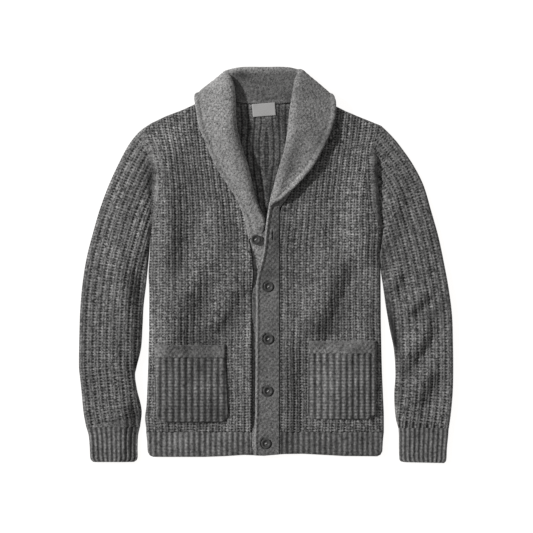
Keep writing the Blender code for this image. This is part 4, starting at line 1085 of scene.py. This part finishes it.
# Points counted across the collar from its seam: where the shadow of the neck ends, on
# the roll, and near its crest
SHADOW_END, ON_ROLL, NEAR_CREST = 17, 20, 24
Station = namedtuple(
    "Station", "seam_x seam_y roll_x roll_y edge_x edge_y stand_off turn radius dip"
)
RIGHT_COLLAR = table_of(Station,
    (-30.5, 57, -6.2, 61, -35.0, 49, -2.5, 0, 0.5, 0),
    (-31.5, 72, -1.8, 74, -38.5, 68, -1.0, 0, 1.4, 0),
    (-34.5, 88, -2.2, 90, -41.5, 82, 0.4, 0, 2.4, 0),
    (-42.6, 112, -10.2, 108, -47, 101, 0.8, 0, 3.8, 0),
    (-51.0, 138, -21, 138, -60, 131, 0.8, 0, 6.2, 0),
    (-60.0, 168, -29, 170, -77, 158, 0.6, 0, 8.8, 0),
    (-69.0, 198, -36, 200, -98, 190, 0.6, 0, 10.2, 0),
    (-78.0, 230, -46, 230, -112, 219, 0.6, 0, 10.5, 0),
    (-85.2, 262, -55, 262, -124, 250, 0.6, 0, 10.0, 0),
    (-89.1, 292, -59, 294, -134, 273, 0.8, 0, 9.0, 0),
    (-91.5, 316, -60, 322, -139, 299, 1.2, 0, 8.4, 0),
    (-92.0, 329, -62, 350, -142, 320, 2.0, 14, 7.6, 0),
    (-91.0, 336.5, -67.4, 369.4, -143, 328, 2.4, 40, 6.6, 0),
    (-88.0, 342.6, -73.2, 382, -142.4, 336, 1.6, 90, 5.2, 0),
    (-82.0, 338.3, -67.6, 389.2, -137, 328, 0.6, 148, 4.4, 0),
    (-72.0, 330.5, -50.4, 393.6, -116, 317, 0.6, 174, 4.0, 0),
    (-44.0, 322.5, -32, 395, -64, 309, 0.6, 180, 3.9, 0),
    (0.0, 320.5, 0, 395, 0, 306, 0.6, 180, 3.9, 0),
)
LEFT_COLLAR = table_of(Station,
    (29.0, 114, 4, 112, 14, 119, 8.6, 0, 4.6, 0),
    (43.5, 134, 9, 134, 31, 129, 12.6, 0, 6.8, 1),
    (52.5, 150, 13.5, 150, 49, 145, 14.0, 0, 8.2, 2),
    (60.5, 172, 19, 172, 66, 162, 14.5, 0, 9.0, 3),
    (68.5, 196, 26, 196, 84, 182, 16.8, 0, 10.4, 4),
    (75.8, 222, 34, 222, 101, 206, 17.0, 0, 10.6, 4),
    (84.2, 256, 41, 256, 119, 240, 13.6, 0, 10.4, 4),
    (88.9, 290, 44.5, 290, 131, 268, 8.6, 0, 9.6, 3),
    (91.5, 316, 48, 318, 139.5, 300, 5.6, 0, 8.6, 2),
    (92.0, 329, 53, 348, 140, 322, 3.4, 14, 7.2, 1),
    (91.0, 336.5, 57.5, 370, 138, 329, 2.6, 40, 6.0, 0),
    (88.0, 342.6, 64, 386, 135, 334, 1.4, 90, 4.8, 0),
    (82.0, 338.3, 58, 389.5, 131, 328, 0.6, 148, 4.2, 0),
    (72.0, 330.5, 45, 393.5, 112, 317, 0.6, 174, 4.0, 0),
    (44.0, 322.5, 28, 395, 62, 309, 0.6, 180, 3.9, 0),
)
# Spots of painted shade on the collar, and of painted light where the shade is negative
COLLAR_PAINTED_SHADE = table_of(Spot,
    (42, 202, 36, 17, 80, 0.46), (110, 246, 34, 12, 62, 0.46), (70, 276, 24, 14, 30, -0.28),
    (80, 342, 32, 13, 0, 0.24), (-132, 343, 22, 12, 40, 0.34), (-35, 180, 26, 6, 105, -0.5),
    (-48, 378, 16, 11, 0, 0.34), (-30, 68, 20, 8, 95, -0.42), (54, 160, 24, 8, 42, -0.36),
    (-86, 244, 20, 12, 60, 0.14), (-56, 252, 40, 7, 95, -0.12), (10, 325, 40, 6, 0, 0.2),
)


def collar_section(station, side):
    """Middle of the collar's cloth at one station: seam, stand, roll, fall, free edge."""
    turn = math.radians(station.turn)
    half = COLLAR_CLOTH / 2
    seam = np.array([station.seam_x, station.seam_y, 0.0])
    roll = np.array([station.roll_x, station.roll_y, 0.0])
    edge = np.array([station.edge_x, station.edge_y, 0.0])
    on_front = math.cos(turn / 2) ** 2
    front_seam_z = FRONT_UNDER + half + 0.3
    front_seam_z += float(lift(seam[0], seam[1]) + band_ramp(seam[0], seam[1]))
    back_seam_z = COLLAR_LIFT + half + 0.2
    seam[2] = on_front * front_seam_z + (1 - on_front) * back_seam_z
    fall_z = FRONT_TOP + float(lift(edge[0], edge[1])) + half + station.stand_off
    edge[2] = on_front * fall_z + (1 - on_front) * (half + 0.4)
    out = edge - roll
    out[2] = 0.0
    out /= np.linalg.norm(out)
    outward = np.array([out[1], -out[0], 0.0]) * side
    normal = math.cos(turn) * np.array([0.0, 0.0, 1.0]) + math.sin(turn) * outward
    radius = station.radius
    stand_top = seam[2] + 0.8 + (1 - on_front) * 2.2
    reach = radius * (1.0 + 0.4 * on_front)
    centre = roll + out * (half + reach)
    centre[2] = stand_top + radius * math.cos(turn)
    stand_end = centre - normal * radius
    stand = np.linspace(0.0, 1.0, STAND_POINTS)[:-1]
    points = [seam + (stand_end - seam) * share for share in stand]
    for angle in np.radians(np.linspace(-90, 90, ROLL_POINTS)):
        points.append(centre - out * reach * math.cos(angle) + normal * radius * math.sin(angle))
    fall_start = points[-1]
    for share in np.linspace(0.0, 1.0, FALL_POINTS)[1:]:
        held = on_front * (share - float(ease(share * 1.06 - 0.03)))
        dip = on_front * station.dip * math.sin(math.pi * share)
        sag = np.array([0.0, 0.0, (fall_start[2] - edge[2]) * held - dip])
        points.append(fall_start + (edge - fall_start) * share + sag)
    return np.array(points)


sections = [collar_section(station, 1) for station in RIGHT_COLLAR]
sections += [collar_section(station, -1) for station in LEFT_COLLAR[::-1]]
middle = smooth_rows(sections, ROWS_TO_STATION)
turns = [(station.turn,) for station in RIGHT_COLLAR + LEFT_COLLAR[::-1]]
turns = smooth_rows(turns, ROWS_TO_STATION)
down, sideways = np.gradient(middle, axis=0), np.gradient(middle, axis=1)
normal = np.cross(down, sideways)
normal /= np.linalg.norm(normal, axis=-1, keepdims=True)
across = np.cumsum(np.linalg.norm(sideways, axis=-1), axis=1)
down_roll = down[:, ON_ROLL : ON_ROLL + 1]
along = np.cumsum(np.linalg.norm(down_roll, axis=-1), axis=0) + 0 * across
from_edge = across[:, -1:] - across
from_end = np.minimum(along, along[-1:] - along)
half = COLLAR_CLOTH / 2 * rounding(from_edge + 0.3, 2.4) * (0.12 + 0.88 * fade(from_end, 0, 20))
facing = 1.0 if normal[len(middle) // 4, NEAR_CREST, 0] > 0 else -1.0
bumps = moss_height(across / MOSS_STITCH[0], along / MOSS_STITCH[1], 0.28)
bumps = bumps + 1.0 * hump(from_edge, 3.5, 5.0) - 0.7 * hump(from_edge, 3.0, 12.0)
bumps = bumps * half / (COLLAR_CLOTH / 2) * fade(turns, 150, 90)
visible = middle + facing * normal * (half - 0.3 + bumps)[..., None]
hidden = middle - facing * normal * (half - 0.2)[..., None]

# The cloth is in shadow behind the neck, where painted shade darkens it. Towards the neck the
# right lapel has a little painted light and the left one a little painted shade, and spots of
# painted shade lie on both
x, y = middle[..., 0], middle[..., 1]
to_shadow_end = across[:, SHADOW_END : SHADOW_END + 1] - across
behind = fade(y, 322, 330) * fade(to_shadow_end, 0, 9) * fade(np.abs(x), 75, 63)
painted_light_and_shade = 0.5 * behind + (0.06 - 0.22 * fade(y, 236, 292)) * fade(x, 0, -30) * (1 - behind)
painted_light_and_shade = painted_light_and_shade + 0.14 * fade(x, 30, 60) * fade(y, 170, 250) * (1 - behind)
painted_light_and_shade = painted_light_and_shade + painted_shade_spots(COLLAR_PAINTED_SHADE, x, y)
knit = knit_of(across / MOSS_STITCH[0], along / MOSS_STITCH[1], painted_light_and_shade)
collar = panel("shawl_collar", visible, hidden, knit, collar_knit, turned=facing < 0)
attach(collar, "root")
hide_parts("collar")

# ---------------------------------------------------------------------------------------
# Patch pockets: a near square of rib with rounded lower corners, sewn to the front along
# its sides and foot, with a strip of the fine knit along the mouth.
Pocket = namedtuple("Pocket", "mouth_y foot_y in_mouth in_foot out_mouth out_foot corner")
RIGHT_POCKET = Pocket(-162, -316, -82, -75, -223, -218, 18)
LEFT_POCKET = Pocket(-154, -310, 86, 81, 225, 223, 18)
POCKET_MOUTH_DROP = 25.0
POCKET_CLOTH = 4.5
POCKET_RIB, POCKET_ROW = 12.8, 6.4
POCKET_RELIEF, POCKET_COLUMNS = 2.3, 97

pocket_knit = ridged_finish("pocket_knit", 0.128, 230.0, narrow=2.0, valley_shade=0.72, row_shade=0.42)


def pocket_piece(name, node, pocket, side, low_y, high_y, rows, finish, moss):
    """The patch of a pocket or the strip along its mouth, lying on the front."""
    y = np.linspace(low_y, high_y, rows)[:, None]
    share = (y - pocket.foot_y) / (pocket.mouth_y - pocket.foot_y)
    inner = pocket.in_foot + (pocket.in_mouth - pocket.in_foot) * share
    outer = pocket.out_foot + (pocket.out_mouth - pocket.out_foot) * share
    rise = np.clip(pocket.corner - (y - pocket.foot_y), 0.0, pocket.corner)
    draw_in = pocket.corner - np.sqrt(pocket.corner**2 - rise**2)
    inner, outer = inner + side * draw_in, outer - side * draw_in
    x = inner + (outer - inner) * np.linspace(0.0, 1.0, POCKET_COLUMNS)[None, :]
    y = np.broadcast_to(y, x.shape)
    from_side = np.minimum(np.abs(x - inner), np.abs(outer - x) * (0.35 if side > 0 else 1.0))
    edges = rounding(from_side + 0.15, 3.2)
    if low_y == pocket.foot_y:
        edges = edges * rounding(y - low_y + 0.15, 3.2)
    else:
        edges = edges * rounding(high_y - y + 0.15, 3.0)
    under = front_surface(x, y)[0] + LAYER_GAP
    if moss:
        rib, row = x / MOSS_STITCH[0], y / MOSS_STITCH[1]
        relief = moss_height(rib, row) - 0.5
    else:
        rib = (np.abs(x) - abs(pocket.in_mouth)) / POCKET_RIB
        row = (y - pocket.foot_y) / POCKET_ROW
        valley = wave(rib)
        relief = -POCKET_RELIEF * valley**1.4 - 0.5 * (1 - valley) * wave(row)
    upper = under + 0.5 + (POCKET_CLOTH - 0.5) * edges + relief * edges
    # The left pocket is made a little lighter, and the body's spots of painted shade and light
    # carry on over both pockets
    knit = knit_of(rib, row, (-0.09 if side > 0 else 0.0) + painted_shade_spots(BODY_PAINTED_SHADE, x, y))
    made = panel(name, laid(x, y, upper), laid(x, y, under), knit, finish, turned=side < 0)
    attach(made, "root")
    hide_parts(node)
    return made


for name, pocket, side, front in (
    ("right", RIGHT_POCKET, -1, front_right), ("left", LEFT_POCKET, 1, front_left)
):
    band_y = pocket.mouth_y - POCKET_MOUTH_DROP
    patch = pocket_piece(f"pocket_patch_{name}", f"pocket_{name}", pocket, side, pocket.foot_y,
                         band_y - SEAM_GAP / 2, 89, pocket_knit, moss=False)
    strip = pocket_piece(f"pocket_mouth_{name}", f"pocket_band_{name}", pocket, side,
                         band_y + SEAM_GAP / 2, pocket.mouth_y, 17, band_knit,
                         moss=True)

# ---------------------------------------------------------------------------------------
# Neck label: a bare rectangle of woven tape, its ends turned under, stitched to the back
# just below the neck seam. Its threads show as a fine even weave.
LABEL_CENTRE, LABEL_SIZE, LABEL_THICKNESS = (-4.0, 308.5), (46.0, 26.0), 0.9
LABEL_TILT = math.radians(4.5)
LABEL_Z = BACK_TOP + COLLAR_LIFT + 1.5
THREADS_TO_METRE = 1400.0

label_finish = Finish("woven_tape", 0.7, 0.1)
parts = label_finish.node("ShaderNodeSeparateXYZ", {}, {0: label_finish.place()}, "X")
weave = (parts * THREADS_TO_METRE).wave() * (parts.part("Y") * THREADS_TO_METRE).wave()
label_tone = label_finish.noise(90.0) * 0.05 + weave * 0.05 + 0.85
label_finish.colour(label_finish.mix(label_tone, grey(0.02), grey(0.32)))
label_finish.bump(weave, 0.1, 0.4)

u = np.linspace(-0.5, 0.5, 41)[None, :] * LABEL_SIZE[0]
v = np.linspace(-0.5, 0.5, 25)[:, None] * LABEL_SIZE[1]
edges = rounding(LABEL_SIZE[0] / 2 - np.abs(u) + 0.1, 1.2)
edges = edges * rounding(LABEL_SIZE[1] / 2 - np.abs(v) + 0.1, 1.2)
x = LABEL_CENTRE[0] + u * math.cos(LABEL_TILT) - v * math.sin(LABEL_TILT)
y = LABEL_CENTRE[1] + u * math.sin(LABEL_TILT) + v * math.cos(LABEL_TILT)
wavy = 0.15 * np.sin(u / 6.0) * np.sin(v / 7.0)
base = LABEL_Z - LABEL_THICKNESS / 2
upper = grid(x, y, base + 0.2 + (LABEL_THICKNESS - 0.2) * edges + wavy)
label = panel("label_tape", upper, grid(x, y, base + 0 * wavy), knit_of(x, y), label_finish)
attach(label, "root")
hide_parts("neck_label")

# ---------------------------------------------------------------------------------------
# Buttons: five dark horn-look discs with a raised rim round a sunk middle and two holes,
# sewn on with a bar of thread. One is open on the under band, four are done up.
BUTTON_THICKNESS, BUTTON_SINK = 4.0, 2.0
WELL_RADIUS, WELL_DEPTH, RIM_SOFT = 5.4, 2.5, 0.9
HOLE_RADIUS, HOLE_SPACING, HOLE_SLANT = 1.0, 4.4, math.radians(35)
BUTTON_GAP = 0.4
THREAD_OVER_HOLES, THREAD_WIDTH, THREAD_THICKNESS, THREAD_RISE = 2.6, 2.2, 1.6, 0.5
OPEN_BUTTON, OPEN_BUTTON_LIFT = (-20.5, 49.0), 2.0

horn = Finish("horn", 0.38)
streaks = horn.noise(140.0, 4.0)
horn.colour(horn.mix((streaks * 1.6 - 0.3).clamp(), grey(0.020), grey(0.062)))
horn.plug(horn.shader.inputs["Roughness"], streaks * 0.2 + 0.3)
horn.bump(horn.noise(700.0), 0.15, 0.4)

thread = Finish("button_thread", 0.85, 0.1)
twist = thread.noise(1500.0, 1.0)
thread.colour(thread.mix(twist, grey(0.22), grey(0.46)))
thread.bump(twist, 0.2, 0.6)


def make_button(name, node, place, under):
    low = under + BUTTON_GAP
    bpy.ops.object.select_all(action="DESELECT")
    bpy.ops.mesh.primitive_cylinder_add(
        vertices=48, radius=BUTTON_RADIUS * MM, depth=BUTTON_THICKNESS * MM,
        location=(place[0] * MM, place[1] * MM, (low + BUTTON_THICKNESS / 2) * MM),
    )
    button = bpy.context.object
    button.name = button.data.name = name
    bpy.ops.object.transform_apply(location=True, rotation=True, scale=True)
    top_z = (low + BUTTON_THICKNESS) * MM
    bpy.ops.object.mode_set(mode="EDIT")
    bpy.ops.mesh.select_mode(type="FACE")
    bpy.ops.mesh.select_all(action="DESELECT")
    bpy.ops.object.mode_set(mode="OBJECT")
    for face in button.data.polygons:
        face.select = face.center.z > top_z - 1e-5 and face.normal.z > 0.9
    bpy.ops.object.mode_set(mode="EDIT")
    bpy.ops.mesh.inset(thickness=(BUTTON_RADIUS - WELL_RADIUS - RIM_SOFT) * MM)
    bpy.ops.mesh.inset(thickness=RIM_SOFT * MM, depth=-WELL_DEPTH * MM)
    bpy.ops.object.mode_set(mode="OBJECT")
    rim = button.modifiers.new("soft edges", "BEVEL")
    rim.width, rim.segments, rim.limit_method = RIM_SOFT * MM, 3, "ANGLE"
    rim.angle_limit = math.radians(25)
    for way in (-1, 1):
        x = place[0] + way * HOLE_SPACING / 2 * math.cos(HOLE_SLANT)
        y = place[1] + way * HOLE_SPACING / 2 * math.sin(HOLE_SLANT)
        bpy.ops.mesh.primitive_cylinder_add(
            vertices=16, radius=HOLE_RADIUS * MM, depth=4 * BUTTON_THICKNESS * MM,
            location=(x * MM, y * MM, top_z),
        )
        drill = bpy.context.object
        hole = button.modifiers.new("hole", "BOOLEAN")
        hole.operation, hole.object = "DIFFERENCE", drill
        bpy.ops.object.select_all(action="DESELECT")
        bpy.context.view_layer.objects.active = button
        button.select_set(True)
        if way < 0:
            bpy.ops.object.modifier_apply(modifier=rim.name)
        bpy.ops.object.modifier_apply(modifier=hole.name)
        bpy.data.objects.remove(drill)
    bpy.ops.object.shade_smooth_by_angle(angle=math.radians(40))
    button.data.materials.clear()
    button.data.materials.append(horn.material)
    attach(button, "root")
    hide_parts(node)

    bpy.ops.object.select_all(action="DESELECT")
    floor_z = low + BUTTON_THICKNESS - WELL_DEPTH
    bpy.ops.mesh.primitive_cube_add(size=1.0, location=(0.0, 0.0, 0.0))
    bar = bpy.context.object
    bar.name = bar.data.name = f"{name}_thread"
    length = HOLE_SPACING + THREAD_OVER_HOLES
    bar.scale = (length * MM, THREAD_WIDTH * MM, THREAD_THICKNESS * MM)
    bar.rotation_euler = (0.0, 0.0, HOLE_SLANT)
    bar.location = (place[0] * MM, place[1] * MM, (floor_z + THREAD_RISE) * MM)
    bpy.ops.object.transform_apply(location=True, rotation=True, scale=True)
    round_off = bar.modifiers.new("round", "SUBSURF")
    round_off.levels = round_off.render_levels = 2
    bpy.ops.object.modifier_apply(modifier=round_off.name)
    bpy.ops.object.shade_smooth()
    bar.data.materials.append(thread.material)
    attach(bar, "root")


make_button("open_button", "button_1", OPEN_BUTTON, FRONT_TOP + OPEN_BUTTON_LIFT)
for number, place in enumerate(CLOSED_BUTTONS, start=2):
    make_button(f"done_up_button_{number}", f"button_{number}", place, BAND_TOP - BUTTON_SINK)
